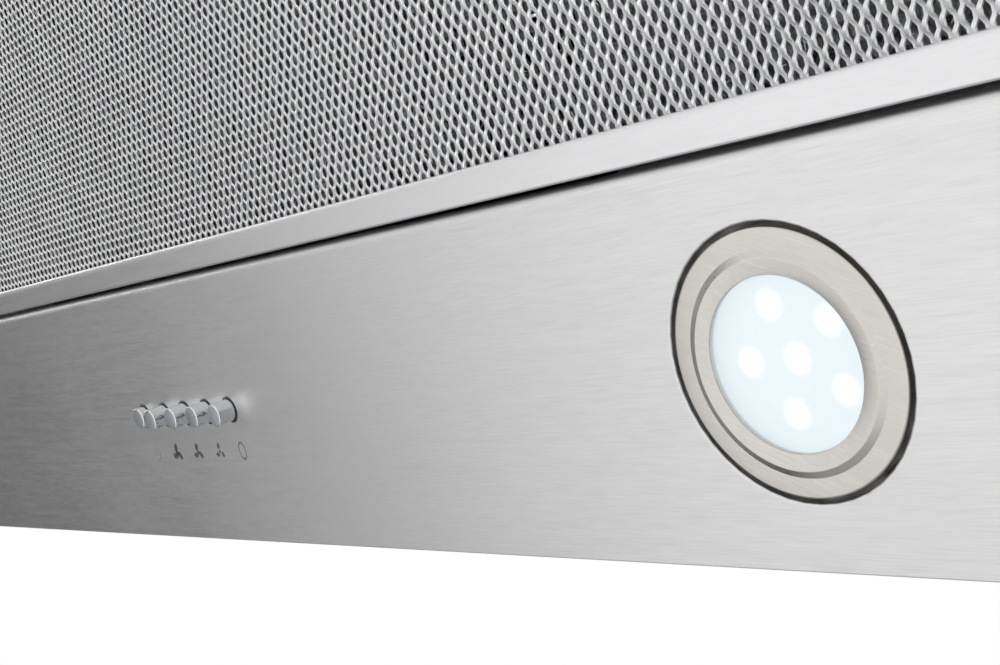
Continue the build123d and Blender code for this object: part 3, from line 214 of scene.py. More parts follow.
def spangledZinc(name, colour, roughness):
    # galvanised sheet: large flat crystals with soft edges
    zinc = Finish(name, Metallic=1.0)
    crystal = zinc.node(
        "ShaderNodeTexVoronoi",
        {"feature": "F1"},
        {"Vector": zinc.place(), "Scale": spangle["crystals"], "Randomness": 1.0},
        output="Color",
    )
    tone = zinc.node("ShaderNodeSeparateColor", {}, {0: crystal})
    haze = zinc.noise(zinc.place(), scale=spangle["haze"])
    zinc.drive(
        Base_Color=zinc.blend(tone * 0.7 + haze * 0.3, shaded(colour, 0.94), shaded(colour, 1.05)),
        Roughness=zinc.ramp(tone, 0.0, 1.0, roughness - 0.03, roughness + 0.03),
    )
    zinc.bump(haze, spangle["relief"], spangle["depth"])
    return zinc.material


def plainMetal(name, colour, roughness, grain=900, relief=0.05, contrast=0.05):
    # pressed, turned or cast metal with a fine isotropic grain
    metal = Finish(name, Metallic=1.0)
    speck = metal.noise(metal.place(), scale=grain, detail=2.0)
    patch = metal.noise(metal.place(), scale=60.0)
    metal.drive(
        Base_Color=metal.blend(
            speck * 0.4 + patch * 0.6, shaded(colour, 1 - contrast), shaded(colour, 1 + contrast)
        ),
        Roughness=metal.ramp(patch, 0.3, 0.7, roughness - 0.04, roughness + 0.05),
    )
    metal.bump(speck, relief, 0.05 * mm)
    return metal.material


def moulded(name, colour, roughness, relief=0.2):
    # moulded plastic, rubber or ink with a fine spark-eroded texture
    plastic = Finish(name, Metallic=0.0)
    speck = plastic.noise(plastic.place(), scale=1600, detail=2.0)
    patch = plastic.noise(plastic.place(), scale=45.0)
    plastic.drive(
        Base_Color=plastic.blend(patch, shaded(colour, 0.92), shaded(colour, 1.08)),
        Roughness=plastic.ramp(patch, 0.3, 0.7, roughness - 0.05, roughness + 0.05),
    )
    plastic.bump(speck, relief, 0.05 * mm)
    return plastic.material


# Finishes, by the record's material slots

finishes = {
    "brushed_stainless": brushedMetal("brushedStainless", (0.60, 0.60, 0.598), 0.40),
    "filter_steel": brushedMetal("filterSteel", (0.64, 0.64, 0.648), 0.40, contrast=0.02),
    "mesh_aluminium": plainMetal("meshAluminium", (0.89, 0.895, 0.90), 0.34),
    "zinc_steel": spangledZinc("galvanisedSheet", (0.50, 0.515, 0.53), 0.40),
    "chrome": plainMetal("chrome", (0.66, 0.67, 0.685), 0.08, relief=0.01, contrast=0.01),
    "satin_nickel": brushedMetal("satinNickel", (0.50, 0.482, 0.46), 0.30, along=(0.915, 0.404)),
    "white_plastic": moulded("whitePlastic", (0.80, 0.81, 0.80), 0.45),
    "board_white": moulded("boardWhite", (0.86, 0.88, 0.90), 0.5, relief=0.05),
    "led_chip": moulded("ledChip", (0.95, 0.90, 0.62), 0.3, relief=0.02),
    "cast_aluminium": plainMetal("castAluminium", (0.55, 0.56, 0.57), 0.48, grain=500, relief=0.3),
    "spring_steel": plainMetal("springSteel", (0.50, 0.51, 0.53), 0.28),
    "black_plastic": moulded("blackPlastic", (0.025, 0.025, 0.027), 0.42),
    "wheel_steel": spangledZinc("wheelSteel", (0.55, 0.56, 0.58), 0.34),
    "flap_aluminium": plainMetal("flapAluminium", (0.72, 0.73, 0.74), 0.38),
    "motor_black": moulded("motorBlack", (0.03, 0.03, 0.032), 0.35),
    "rubber": moulded("rubber", (0.02, 0.02, 0.02), 0.7),
    "capacitor_plastic": moulded("capacitorPlastic", (0.72, 0.72, 0.69), 0.4),
    "latch_steel": brushedMetal("latchSteel", (0.62, 0.62, 0.63), 0.32, contrast=0.04),
    "screw_steel": plainMetal("screwSteel", (0.60, 0.60, 0.61), 0.25),
    "frosted_glass": moulded("frostedGlass", (0.9, 0.93, 0.95), 0.12, relief=0.01),
}
print("finishes made:", len(finishes))


# CAD nodes take the finish of their own material slot

slotOf = {entry["node"]: entry["material_slot"] for entry in frame["record"]["subparts"]}
for name, finishName in slotOf.items():
    for place in nodes[name].material_slots:
        place.material = finishes[finishName]
print("nodes dressed:", len(nodes))


# Helpers that make pieces


def newPiece(name, bm, body, slot, smoothAngle=35, finish=None):
    # turns a bmesh into an object that rides on a body, smooth apart from its sharp edges
    mesh = bpy.data.meshes.new(name)
    bm.to_mesh(mesh)
    bm.free()
    piece = bpy.data.objects.new(name, mesh)
    bpy.context.scene.collection.objects.link(piece)
    mesh.shade_smooth()
    mesh.set_sharp_from_angle(angle=radians(smoothAngle))
    mesh.materials.append(finish or finishes[slot])
    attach(piece, body)
    return piece


def spun(bm, profile, centre, steps=128):
    # spins a closed profile of (radius, height) points about the upright line through centre
    corners = [bm.verts.new((centre.x + radius, centre.y, height)) for radius, height in profile]
    rim = [bm.edges.new(pair) for pair in zip(corners, corners[1:] + corners[:1])]
    bmesh.ops.spin(
        bm,
        geom=corners + rim,
        cent=centre,
        axis=(0, 0, 1),
        angle=2 * pi,
        steps=steps,
        use_merge=True,
    )
    bmesh.ops.remove_doubles(bm, verts=bm.verts, dist=1e-6)
    bmesh.ops.dissolve_degenerate(bm, edges=bm.edges, dist=1e-7)
    bmesh.ops.recalc_face_normals(bm, faces=bm.faces)


def roundedProfile(points, radii, segments=5):
    # gives a closed profile's corners their own radii
    profile = []
    for place, (corner, radius) in enumerate(zip(points, radii)):
        if radius == 0:
            profile.append(corner)
            continue
        here = Vector(corner)
        before = (Vector(points[place - 1]) - here).normalized()
        after = (Vector(points[(place + 1) % len(points)]) - here).normalized()
        half = before.angle(after) / 2
        middle = here + (before + after).normalized() * radius / sin(half)
        start = here + before * radius / tan(half) - middle
        sweep = start.angle_signed(here + after * radius / tan(half) - middle)
        for step in range(segments + 1):
            arm = start.copy()
            arm.rotate(Matrix.Rotation(-sweep * step / segments, 2))
            profile.append(tuple(middle + arm))
    return profile


def centreOf(node):
    low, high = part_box(node)
    return (low + high) / 2


# Rounded parts: smooth copies of the CAD nodes, with the folds of the plate and frame drawn softer

roundedNodes = (
    "bottom_plate",
    "filter_frame",
    "scroll_wrap",
    "scroll_side_left",
    "scroll_side_right",
    "wheel",
    "motor",
    "motor_shaft",
    "capacitor",
    "capacitor_strap",
    "lamp_can_left",
    "lamp_can_right",
    "cable_gland",
    "switch_body",
    "damper_flap_front",
    "damper_flap_rear",
    "damper_axles",
    "hinge_pins",
    "side_clips",
    "latch_left",
    "latch_right",
)
# an outline is its size, its middle and its corners' radius
filterMiddle = Vector((0, 35.75 * mm))
plateFolds = {
    "opening": (Vector((780 * mm, 156.5 * mm)), filterMiddle, 3.0 * mm),
    "cadRadius": 1.3 * mm,
    "wide": 2.8 * mm,
    "deep": 2.6 * mm,
}
frameFolds = {
    "outer": (Vector((777 * mm, 153.5 * mm)), filterMiddle, 0.0),
    "inner": (Vector((757 * mm, 133.5 * mm)), filterMiddle, 0.0),
    "cadRadius": 0.5 * mm,
    "wide": 2.6 * mm,
    "deep": 1.5 * mm,
    "lipTop": 1.6 * mm,
    "outerRadius": 0.9 * mm,
}
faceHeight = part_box("bottom_plate")[0].z
near = 0.01 * mm


def widenFold(bm, outline, cadRadius, wide, deep, facing=1):
    # stretches the fold that runs round an outline, on its outer (1) or inner (-1) side
    size, middle, corner = outline
    for vert in bm.verts:
        rise = vert.co.z - faceHeight
        if not -near < rise < cadRadius + near:
            continue
        away = vert.co.xy - middle
        sides = Vector((1 if away.x > 0 else -1, 1 if away.y > 0 else -1))
        past = Vector((abs(away.x) - size.x / 2 + corner, abs(away.y) - size.y / 2 + corner))
        if corner and min(past) > 0:
            gap, lean = past.length - corner, past.normalized()
        elif not corner and facing * min(past) > -cadRadius and abs(past.x - past.y) < 2 * near:
            gap, lean = past.x, Vector((1, 1))
        elif past.x > past.y:
            gap, lean = past.x - corner, Vector((1, 0))
        else:
            gap, lean = past.y - corner, Vector((0, 1))
        gap *= facing
        if -near < gap < cadRadius + near:
            shift = facing * gap * (wide / cadRadius - 1)
            vert.co.x += sides.x * lean.x * shift
            vert.co.y += sides.y * lean.y * shift
            vert.co.z += rise * (deep / cadRadius - 1)


def liftLip(bm):
    # lifts the frame's inner lip to one height, to make room for its wide fold
    fold = frameFolds
    half = fold["inner"][0] / 2 + Vector((2 * near, 2 * near))
    for vert in bm.verts:
        away = vert.co.xy - fold["inner"][1]
        level = vert.co.z - faceHeight
        within = abs(away.x) < half.x and abs(away.y) < half.y
        if within and fold["cadRadius"] + near < level < fold["lipTop"]:
            vert.co.z = faceHeight + fold["lipTop"]


def softened(node):
    bm = bmesh.new()
    bm.from_mesh(nodes[node].data)
    bmesh.ops.remove_doubles(bm, verts=bm.verts, dist=0.002 * mm)
    if node == "bottom_plate":
        fold = plateFolds
        widenFold(bm, fold["opening"], fold["cadRadius"], fold["wide"], fold["deep"])
    if node == "filter_frame":
        fold = frameFolds
        liftLip(bm)
        widenFold(bm, fold["inner"], fold["cadRadius"], fold["wide"], fold["deep"])
        outerRadius = fold["outerRadius"]
        widenFold(bm, fold["outer"], fold["cadRadius"], outerRadius, outerRadius, -1)
    body = nodes[node].parent.name.split(":")[1]
    piece = newPiece(f"smooth_{node}", bm, body, slotOf[node], 32)
    even = piece.modifiers.new("evenShading", "WEIGHTED_NORMAL")
    even.keep_sharp = True
    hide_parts(node)


for name in roundedNodes:
    softened(name)
print("smooth copies made:", len(roundedNodes))


# Expanded metal of the filter

frontNet = {
    "pitchX": 4.07 * mm,
    "pitchY": 6.31 * mm,
    "strandWidth": 1.3 * mm,
    "strandThickness": 0.58 * mm,
    "bondLean": -20,
    "linkLean": -16,
    "unevenness": 0.05 * mm,
}
rearNet = {
    "pitchX": 6.4 * mm,
    "pitchY": 10.0 * mm,
    "strandWidth": 1.1 * mm,
    "strandThickness": 0.45 * mm,
    "bondLean": -22,
    "linkLean": -40,
    "unevenness": 0.08 * mm,
}
innerNet = {
    "pitchX": 5.6 * mm,
    "pitchY": 8.8 * mm,
    "strandWidth": 0.9 * mm,
    "strandThickness": 0.3 * mm,
    "bondLean": 28,
    "linkLean": 50,
    "unevenness": 0.5 * mm,
}
# the angles of one weave at which a strand has a section, and its shape between the bonds
weave = {
    "phases": (-42, 42, 74, 106, 138, 222, 254, 286),
    "dwell": 1.4,
    "swell": 0.2,
    "ripple": 160,
}


def strandSection(net, phase, side, middleX, y):
    # where the strand's section stands at that phase of its weave
    swing = max(-1.0, min(1.0, weave["dwell"] * cos(radians(phase)))) * side
    lean = net["bondLean"] + (net["linkLean"] - net["bondLean"]) * (1 - abs(swing))
    bondLean = radians(net["bondLean"])
    reach = net["pitchX"] / 4 - net["strandWidth"] * cos(bondLean) / 2
    drop = swing * net["strandWidth"] / 2 * sin(bondLean)
    width = net["strandWidth"] * (1 + weave["swell"] * (1 - abs(swing)))
    return (
        Matrix.Translation((middleX + swing * reach, y, drop))
        @ Matrix.Rotation(radians(lean), 4, "Y")
        @ Matrix.Diagonal((width, 1, net["strandThickness"], 1))
    )


def strandPair(net, low, high):
    # two neighbouring strands that weave in opposite phase, along the whole depth
    bm = bmesh.new()
    periods = int((high.y - low.y) / net["pitchY"]) + 1
    stops = [
        (phase + 360 * turn, low.y + net["pitchY"] * (turn + phase / 360))
        for turn in range(periods)
        for phase in weave["phases"]
    ]
    stops = [stop for stop in stops if low.y <= stop[1] <= high.y]
    for side in (1, -1):
        middleX = net["pitchX"] / 4 * side
        square = bmesh.ops.create_grid(bm, x_segments=1, y_segments=1, size=0.5)["verts"]
        bmesh.ops.rotate(bm, verts=square, matrix=Matrix.Rotation(pi / 2, 3, "X"))
        placed = strandSection(net, stops[0][0], side, middleX, stops[0][1])
        bmesh.ops.transform(bm, matrix=placed, verts=square)
        ring = list(dict.fromkeys(edge for vert in square for edge in vert.link_edges))
        for phase, y in stops[1:]:
            grown = bmesh.ops.extrude_edge_only(bm, edges=ring)["geom"]
            section = strandSection(net, phase, side, middleX, y)
            tip = [item for item in grown if isinstance(item, bmesh.types.BMVert)]
            ring = [
                item for item in grown
                if isinstance(item, bmesh.types.BMEdge) and all(vert in tip for vert in item.verts)
            ]
            bmesh.ops.transform(bm, matrix=section @ placed.inverted(), verts=tip)
            placed = section
        bmesh.ops.contextual_create(bm, geom=ring)
    bmesh.ops.recalc_face_normals(bm, faces=bm.faces)
    return bm


def asTemplate(bm, name):
    mesh = bpy.data.meshes.new(name)
    bm.to_mesh(mesh)
    bm.free()
    return mesh


def cutNotches(bm, notches):
    # clears the room of the latches
    for low, high in notches:
        inside = [
            vert for vert in bm.verts
            if low.x < vert.co.x < high.x and low.y < vert.co.y < high.y
        ]
        bmesh.ops.delete(bm, geom=inside, context="VERTS")


def expandedMetal(name, net, low, high, count, node, notches=(), finish=None):
    # fills the box from low to high with woven strands, cut into a few pieces along X
    template = asTemplate(strandPair(net, low, high), name + "Pair")
    total = int((high.x - low.x) / net["pitchX"])
    firstX = (low.x + high.x) / 2 - (total - 1) / 2 * net["pitchX"]
    middleZ = (low.z + high.z) / 2
    for part in range(count):
        bm = bmesh.new()
        for place in range(part * total // count, (part + 1) * total // count):
            start = len(bm.verts)
            bm.from_mesh(template)
            bm.verts.ensure_lookup_table()
            shift = (firstX + place * net["pitchX"], 0, middleZ)
            bmesh.ops.translate(bm, verts=bm.verts[start:], vec=shift)
        for vert in bm.verts:
            vert.co += noise.noise_vector(vert.co * weave["ripple"]) * net["unevenness"]
        cutNotches(bm, notches)
        piece = newPiece(f"{name}_{part}", bm, "filter", "mesh_aluminium", 50, finish)
        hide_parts(node)
    bpy.data.meshes.remove(template)


# Layers of the filter, from its face up

layers = {
    "frameFace": 10.0 * mm,
    "underLip": 3.0 * mm,
    "frameSheet": 0.8 * mm,
    "meshGap": 0.1 * mm,
    "meshHeight": 1.3 * mm,
    "housingWidth": 54 * mm,
    "notchRoom": 0.5 * mm,
    "woolInset": 5 * mm,
    "woolHeights": (0.9 * mm, 1.6 * mm),
    "netHeights": (2.2 * mm, 3.6 * mm),
    "netThickness": 0.8 * mm,
}
fibres = {
    "patch": 15 * mm,
    "perPatch": 24,
    "length": 7 * mm,
    "lengthSpread": (0.5, 1.2),
    "width": 0.16 * mm,
    "curl": 1.6 * mm,
    "scatter": 0.6 * mm,
}
# painted shade: the inner layers are aluminium painted dark grey to stand for the shade inside the
# filter
dulledAluminium = plainMetal("dulledAluminium", (0.20, 0.203, 0.207), 0.45)
woolAluminium = plainMetal("woolAluminium", (0.58, 0.585, 0.59), 0.3)


def latchRooms():
    low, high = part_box("latch_housings")
    room = layers["notchRoom"]
    rooms = []
    for side in (-1, 1):
        left, right = sorted((side * high.x, side * (high.x - layers["housingWidth"])))
        rooms.append((Vector((left - room, low.y - room)), Vector((right + room, 1))))
    return rooms


def fibrePatch():
    # a small tangle of flat aluminium fibres
    size = fibres
    bm = bmesh.new()
    for _ in range(size["perPatch"]):
        strip = bmesh.ops.create_grid(bm, x_segments=4, y_segments=1, size=0.5)["verts"]
        length = size["length"] * random.uniform(*size["lengthSpread"])
        bmesh.ops.scale(bm, verts=strip, vec=(length, size["width"], 1))
        curl = random.uniform(-1, 1) * size["curl"] / size["length"] ** 2
        for vert in strip:
            vert.co.z += vert.co.x ** 2 * curl
        spin = Matrix.Rotation(random.uniform(0, 2 * pi), 3, "Z")
        roll = Matrix.Rotation(random.uniform(0, 2 * pi), 3, "X")
        bmesh.ops.rotate(bm, verts=strip, matrix=spin @ roll)
        shift = (
            random.uniform(-0.5, 0.5) * size["patch"],
            random.uniform(-0.5, 0.5) * size["patch"],
            random.uniform(-1, 1) * size["scatter"],
        )
        bmesh.ops.translate(bm, verts=strip, vec=shift)
    return bm


def filterWool(low, high, notches):
    # the tangle fills the space between the nets
    template = asTemplate(fibrePatch(), "fibrePatch")
    columns = int((high.x - low.x) / fibres["patch"])
    rows = int((high.y - low.y) / fibres["patch"])
    bm = bmesh.new()
    for column in range(columns):
        for row in range(rows):
            start = len(bm.verts)
            bm.from_mesh(template)
            bm.verts.ensure_lookup_table()
            fresh = bm.verts[start:]
            turn = Matrix.Rotation(random.uniform(0, 2 * pi), 3, "Z")
            bmesh.ops.rotate(bm, verts=fresh, matrix=turn)
            shift = (
                low.x + (high.x - low.x) * (column + 0.5) / columns,
                low.y + (high.y - low.y) * (row + 0.5) / rows,
                random.uniform(low.z, high.z),
            )
            bmesh.ops.translate(bm, verts=fresh, vec=shift)
    bpy.data.meshes.remove(template)
    cutNotches(bm, notches)
    return bm


def filterLayers():
    size = layers
    random.seed(7)
    noise.seed_set(7)
    low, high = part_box("filter_frame")
    inset = size["frameFace"] - size["underLip"]
    rooms = latchRooms()
    meshLow = low + Vector((inset, inset, size["frameSheet"] + size["meshGap"]))
    meshHigh = Vector((high.x - inset, high.y - inset, meshLow.z + size["meshHeight"]))
    expandedMetal("frontMesh", frontNet, meshLow, meshHigh, 4, "filter_mesh_front", rooms)
    print("front mesh made")

    rearTop = high.z - size["frameSheet"]
    rearLow = Vector((meshLow.x, meshLow.y, rearTop - size["meshHeight"]))
    rearHigh = Vector((meshHigh.x, meshHigh.y, rearTop))
    expandedMetal("rearMesh", rearNet, rearLow, rearHigh, 2, "filter_mesh_rear")
    print("rear mesh made")

    edge = size["woolInset"]
    bottom, top = size["woolHeights"]
    woolLow = Vector((meshLow.x + edge, meshLow.y + edge, meshHigh.z + bottom))
    woolHigh = Vector((meshHigh.x - edge, meshHigh.y - edge, meshHigh.z + top))
    tangle = filterWool(woolLow, woolHigh, rooms)
    wool = newPiece("filterWool", tangle, "filter", "mesh_aluminium", finish=woolAluminium)
    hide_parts("filter_layers")

    # the inner layers wear the aluminium painted dark for the shade inside the filter
    for place, height in enumerate(size["netHeights"]):
        netLow = Vector((meshLow.x, meshLow.y, meshHigh.z + height))
        netHigh = Vector((meshHigh.x, meshHigh.y, netLow.z + size["netThickness"]))
        name = f"innerLayer{place}"
        expandedMetal(name, innerNet, netLow, netHigh, 2, "filter_layers", rooms, dulledAluminium)
    print("filter layers made")


filterLayers()


# Lamps

lampSizes = {
    "lens": 21.7 * mm,
    "dish": 25.8 * mm,
    "step": 27.7 * mm,
    "rim": 32.9 * mm,
    "proud": 0.85 * mm,
    "lensProud": 0.3 * mm,
    "depth": 5.0 * mm,
    "seat": 1.2 * mm,
    "ledge": 1.4 * mm,
    "flangeTop": 2.2 * mm,
    "play": 0.1 * mm,
    "glow": 19.0 * mm,
    "glowDepth": 5.3 * mm,
    "ledCircle": 14.2 * mm,
    "spotEdge": 4.6 * mm,
    "spotCore": 1.8 * mm,
}


def glowFinish(side, centre):
    # light diffuser behind the lens: six soft white spots on a cool ground
    size = lampSizes
    glow = Finish(f"lampGlow_{side}", Roughness=0.6, Emission_Strength=1.0)
    places = [(0.0, 0.0)]
    for turn in range(5):
        angle = 2 * pi * turn / 5
        places.append((size["ledCircle"] * cos(angle), size["ledCircle"] * sin(angle)))
    spots = 0
    for x, y in places:
        away = glow.node(
            "ShaderNodeVectorMath",
            {"operation": "DISTANCE"},
            {0: glow.place(), 1: (centre.x + x, centre.y + y, centre.z)},
            output="Value",
        )
        spots += glow.ramp(away, size["spotEdge"], size["spotCore"])
    cool = glow.blend(spots, (0.57, 0.665, 0.705), (1.0, 1.0, 1.0))
    glow.drive(Base_Color=(0.2, 0.2, 0.2, 1), Emission_Color=cool)
    return glow.material


def lampParts(side):
    size = lampSizes
    centre = centreOf(f"lamp_bezel_{side}")
    centre.z = 0
    front = faceHeight - size["lensProud"]
    back = faceHeight + size["depth"]
    ledge = front + size["ledge"]
    flangeTop = front + size["flangeTop"]
    flange = size["lens"] + size["seat"]
    profile = roundedProfile(
        [
            (size["lens"], front),
            (size["dish"], faceHeight - size["proud"]),
            (size["step"], faceHeight),
            (size["rim"], faceHeight),
            (size["rim"], back),
            (flange, back),
            (flange, ledge),
            (size["lens"], ledge),
        ],
        [0.15 * mm, 0.9 * mm, 0.5 * mm, 0.6 * mm, 0.2 * mm, 0, 0, 0.1 * mm],
    )
    bm = bmesh.new()
    spun(bm, profile, centre)
    bezel = newPiece(f"lampBezel_{side}", bm, "hood", "satin_nickel")
    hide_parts(f"lamp_bezel_{side}")

    # the lens is a little domed, with a softened edge and a flange that sits on the ledge
    edge = size["lens"] - size["play"]
    bm = bmesh.new()
    spun(
        bm,
        [
            (0, front + 0.02 * mm),
            (size["lens"] - 0.5 * mm, front + 0.05 * mm),
            (edge, front + 0.3 * mm),
            (edge, ledge),
            (flange - size["play"], ledge + size["play"]),
            (flange - size["play"], flangeTop),
            (0, flangeTop),
        ],
        centre,
    )
    lens = newPiece(f"lampLens_{side}", bm, "hood", "frosted_glass")
    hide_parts(f"lamp_lens_{side}")

    # the diffuser is a shallow cup above the lens
    glowHeight = faceHeight + size["glowDepth"]
    cupRim = flangeTop + 0.05 * mm
    cupTop = glowHeight + 0.5 * mm
    bm = bmesh.new()
    spun(
        bm,
        [
            (0, glowHeight),
            (size["glow"], glowHeight),
            (size["lens"] + 0.4 * mm, cupRim),
            (flange, cupRim),
            (flange, cupTop),
            (0, cupTop),
        ],
        centre,
    )
    paint = glowFinish(side, Vector((centre.x, centre.y, glowHeight)))
    glow = newPiece(f"lampGlow_{side}", bm, "hood", "white_plastic", finish=paint)
    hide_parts(f"lamp_reflector_{side}", f"lamp_leds_{side}")


lensGlass = Finish("lensGlass", Base_Color=(0.93, 0.97, 1.0, 1), Roughness=0.08, Alpha=0.16)
finishes["frosted_glass"] = lensGlass.material
for side in ("left", "right"):
    lampParts(side)
print("lamps made")


# Push buttons: chrome caps with satin ends, whose darker bluish grey is a painted reflection

buttonSizes = {"radius": 4.2 * mm, "chamfer": 0.45 * mm, "inner": 0.2 * mm}
# satin ends: the rougher finish is the cap's own, the darker bluish grey is a painted reflection
satinEnd = plainMetal("satinEnd", (0.46, 0.485, 0.51), 0.42, relief=0.02)


def buttonParts(name):
    size = buttonSizes
    low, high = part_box(name)
    middle = (low + high) / 2
    profile = roundedProfile(
        [(0, low.z), (size["radius"], low.z), (size["radius"], high.z), (0, high.z)],
        [0, size["chamfer"], size["inner"], 0],
    )
    bm = bmesh.new()
    spun(bm, profile, Vector((middle.x, middle.y, 0)), steps=64)
    # the flat end face takes the satin finish with its painted reflection
    for face in bm.faces:
        if face.normal.z < -0.98:
            face.material_index = 1
    button = newPiece(f"cap_{name}", bm, name, "chrome")
    button.data.materials.append(satinEnd)
    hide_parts(name)


for name in ("button_0", "button_1", "button_2", "button_3", "button_light"):
    buttonParts(name)
print("buttons made")


# Printed marks below the buttons: a ring for off, a fan that grows with the speed, and a lamp

markSizes = {
    "y": -109.3 * mm,
    "thick": 0.03 * mm,
    "hub": 0.95 * mm,
    "blade": (1.1 * mm, 1.7 * mm),
    "bladeTurns": (90, 210, 330),
    "bladeSlant": -60,
    "reach": 2.2 * mm,
    "ring": 3.5 * mm,
    "ringSqueeze": 0.68,
    "lamp": 2.8 * mm,
    "lampSqueeze": 0.9,
    "stroke": 0.6 * mm,
}
fanGrowth = {
    "button_0": 0,
    "button_1": 0.72,
    "button_2": 0.94,
    "button_3": 1.12,
    "button_light": 0,
}
markLow = faceHeight - markSizes["thick"] * 0.6
markHigh = markLow + markSizes["thick"]
markInk = moulded("markInk", (0.055, 0.055, 0.06), 0.5, relief=0.02)
paleInk = moulded("paleInk", (0.20, 0.20, 0.21), 0.5, relief=0.02)


def disc(bm, x, y, radii, turn=0):
    verts = bmesh.ops.create_circle(bm, cap_ends=True, segments=20, radius=1)["verts"]
    raised = bmesh.ops.extrude_face_region(bm, geom=[verts[0].link_faces[0]])["geom"]
    upper = [item for item in raised if isinstance(item, bmesh.types.BMVert)]
    bmesh.ops.translate(bm, verts=upper, vec=(0, 0, 1))
    both = verts + upper
    bmesh.ops.scale(bm, verts=both, vec=(*radii, markSizes["thick"]))
    bmesh.ops.rotate(bm, verts=both, matrix=Matrix.Rotation(radians(turn), 3, "Z"))
    bmesh.ops.translate(bm, verts=both, vec=(x, y, markLow))


def ring(bm, x, radius, squeeze):
    inner = radius - markSizes["stroke"]
    profile = [(inner, markLow), (radius, markLow), (radius, markHigh), (inner, markHigh)]
    spun(bm, profile, Vector((0, 0, 0)), steps=40)
    bmesh.ops.scale(bm, verts=bm.verts, vec=(squeeze, 1, 1))
    bmesh.ops.translate(bm, verts=bm.verts, vec=(x, markSizes["y"], 0))


def fan(bm, x, growth):
    size = markSizes
    disc(bm, x, size["y"], (size["hub"] * growth, size["hub"] * growth))
    for turn in size["bladeTurns"]:
        disc(
            bm,
            x + size["reach"] * cos(radians(turn)),
            size["y"] + size["reach"] * sin(radians(turn)),
            (size["blade"][0] * growth, size["blade"][1] * growth),
            turn + size["bladeSlant"],
        )


for name, growth in fanGrowth.items():
    x = centreOf(name).x
    bm = bmesh.new()
    if growth:
        fan(bm, x, growth)
    elif name == "button_0":
        ring(bm, x, markSizes["ring"], markSizes["ringSqueeze"])
    else:
        ring(bm, x, markSizes["lamp"], markSizes["lampSqueeze"])
        disc(bm, x, markSizes["y"], (markSizes["hub"], markSizes["hub"]))
    bmesh.ops.recalc_face_normals(bm, faces=bm.faces)
    ink = paleInk if name == "button_light" else markInk
    newPiece(f"mark_{name}", bm, "hood", "black_plastic", finish=ink)
print("marks made")


# Camera, lamps, cards and floor

view = {
    "eye": (-0.51612, -0.02397, -0.26088),
    "target": (-0.19655, -0.07745, -0.002),
    "roll": 67.86,
    "lens": 53.64,
    "sensor": 36.0,
}
studio = {"worldLevel": 0.5, "floorHeight": -0.75, "floorHalf": 15.0, "floorWhite": 0.65}
# a soft box's place, what it faces, its size and the level at which its face glows
softBoxes = {
    "softBoxBelow": ((-0.26, -0.09, -0.62), (-0.26, -0.09, 0.0), (1.84, 1.08), 0.78),
    "softBoxWall": ((0.1, 0.33, -0.25), (0.1, 0.0, -0.25), (2.2, 0.44), 0.6),
    "softBoxSide": ((2.5, 0.60, -0.20), (-0.2, 0.03, 0.0), (1.1, 0.5), 5.0),
    "softBoxCorner": ((1.5, 0.95, -0.55), (0.0, 0.0, 0.0), (1.1, 1.1), 2.0),
    "softBoxAbove": ((-0.6, -1.2, 1.7), (0.0, 0.0, 0.1), (2.0, 2.0), 0.4),
    "softBoxRear": ((1.0, 1.6, 1.2), (0.0, 0.0, 0.1), (1.6, 1.2), 0.3),
}
# an upright dark card's middle and size
shadeCards = {
    "farCard": ((1.04, 0, -0.425), (0.64, 3.0)),
    "nearCard": ((-1.55, 0, -0.27), (0.85, 3.0)),
}


def aimed(place, target):
    return (Vector(target) - Vector(place)).to_track_quat("-Z", "Y")


def placeCamera():
    camera = bpy.data.objects.new("camera", bpy.data.cameras.new("camera"))
    bpy.context.scene.collection.objects.link(camera)
    camera.matrix_world = (
        Matrix.Translation(view["eye"])
        @ aimed(view["eye"], view["target"]).to_matrix().to_4x4()
        @ Matrix.Rotation(radians(view["roll"]), 4, "Z")
    )
    camera.data.lens = view["lens"]
    camera.data.sensor_width = view["sensor"]
    camera.data.clip_start = 0.01
    bpy.context.scene.camera = camera


def areaLamp(name, place, target, size, level):
    # a soft box whose face glows at that level, where 1 is white
    lamp = bpy.data.lights.new(name, "AREA")
    lamp.shape = "RECTANGLE"
    lamp.size, lamp.size_y = size
    lamp.energy = level * pi * size[0] * size[1]
    holder = bpy.data.objects.new(name, lamp)
    holder.location = place
    holder.rotation_euler = aimed(place, target).to_euler()
    holder.visible_camera = False
    bpy.context.scene.collection.objects.link(holder)


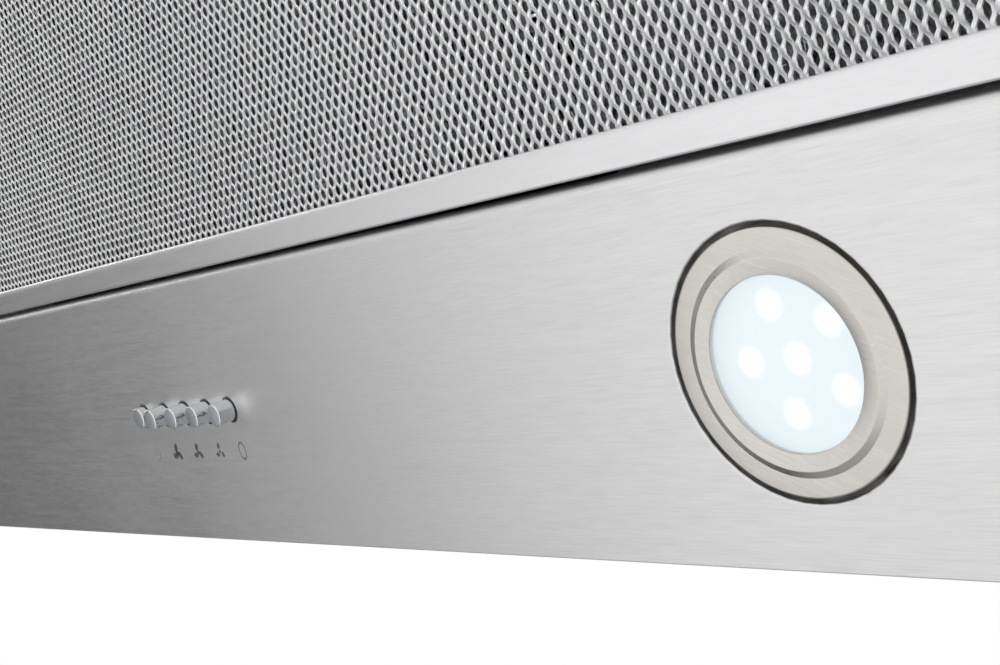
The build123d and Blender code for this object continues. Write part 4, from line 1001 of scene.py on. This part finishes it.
def makeWorld():
    # the camera and shiny surfaces see white, and the rest gets a softer light
    world = bpy.data.worlds.new("studio")
    world.use_nodes = True
    bpy.context.scene.world = world
    sky = Graph(world.node_tree)
    sky.tree.nodes.remove(sky.tree.nodes["Background"])
    direct = sky.node("ShaderNodeLightPath", output="Is Camera Ray")
    glossy = sky.node("ShaderNodeLightPath", output="Is Glossy Ray")
    through = sky.node("ShaderNodeLightPath", output="Is Transmission Ray")
    seen = direct.maths("MAXIMUM", direct, glossy.maths("MAXIMUM", glossy, through))
    soft = sky.node("ShaderNodeBackground", {}, {"Color": white, "Strength": studio["worldLevel"]})
    bright = sky.node("ShaderNodeBackground", {}, {"Color": white, "Strength": 1.0})
    shown = sky.node("ShaderNodeMixShader", {}, {0: seen, 1: soft, 2: bright})
    sky.feed(sky.tree.nodes["World Output"].inputs["Surface"], shown)


def stagePlane(name, paint, middle, size, turn=0.0):
    # a flat plane of the studio, turned about Y from level
    bm = bmesh.new()
    bmesh.ops.create_grid(bm, x_segments=1, y_segments=1, size=0.5)
    bmesh.ops.scale(bm, verts=bm.verts, vec=(*size, 1))
    bmesh.ops.rotate(bm, verts=bm.verts, matrix=Matrix.Rotation(radians(turn), 3, "Y"))
    bmesh.ops.translate(bm, verts=bm.verts, vec=middle)
    mesh = bpy.data.meshes.new(name)
    bm.to_mesh(mesh)
    bm.free()
    mesh.materials.append(paint.material)
    plane = bpy.data.objects.new(name, mesh)
    bpy.context.scene.collection.objects.link(plane)
    return plane


def makeFloor():
    # pale to the camera, with the hood's shadow on it, and clear from below
    floor = Finish("floorPaint", Base_Color=(0.82, 0.82, 0.82, 1), Roughness=0.9)
    fromBelow = floor.node("ShaderNodeNewGeometry", output="Backfacing")
    seen = floor.node("ShaderNodeLightPath", output="Is Camera Ray")
    floor.drive(Alpha=1 - fromBelow)
    lit = Signal(floor, floor.shader.outputs[0])
    pale = floor.node("ShaderNodeEmission", {}, {"Color": white, "Strength": 1.0})
    share = seen * (1 - fromBelow) * studio["floorWhite"]
    floor.feed(floor.surface, floor.node("ShaderNodeMixShader", {}, {0: share, 1: lit, 2: pale}))
    width = 2 * studio["floorHalf"]
    stagePlane("floor", floor, (0, 0, studio["floorHeight"]), (width, width))


def shadeCard(name, middle, size):
    # a dark card that only the metal sees, so it shades what faces it
    paint = Finish(name + "Paint", Base_Color=(0.03, 0.03, 0.03, 1), Roughness=0.9)
    card = stagePlane(name, paint, middle, size, 90)
    card.visible_camera = False
    card.visible_diffuse = False
    card.visible_shadow = False


placeCamera()
for name, (middle, size) in shadeCards.items():
    shadeCard(name, middle, size)
makeWorld()
makeFloor()
for name, (place, target, size, level) in softBoxes.items():
    areaLamp(name, place, target, size, level)
bpy.context.scene.view_settings.view_transform = "Standard"
print("scene ready")
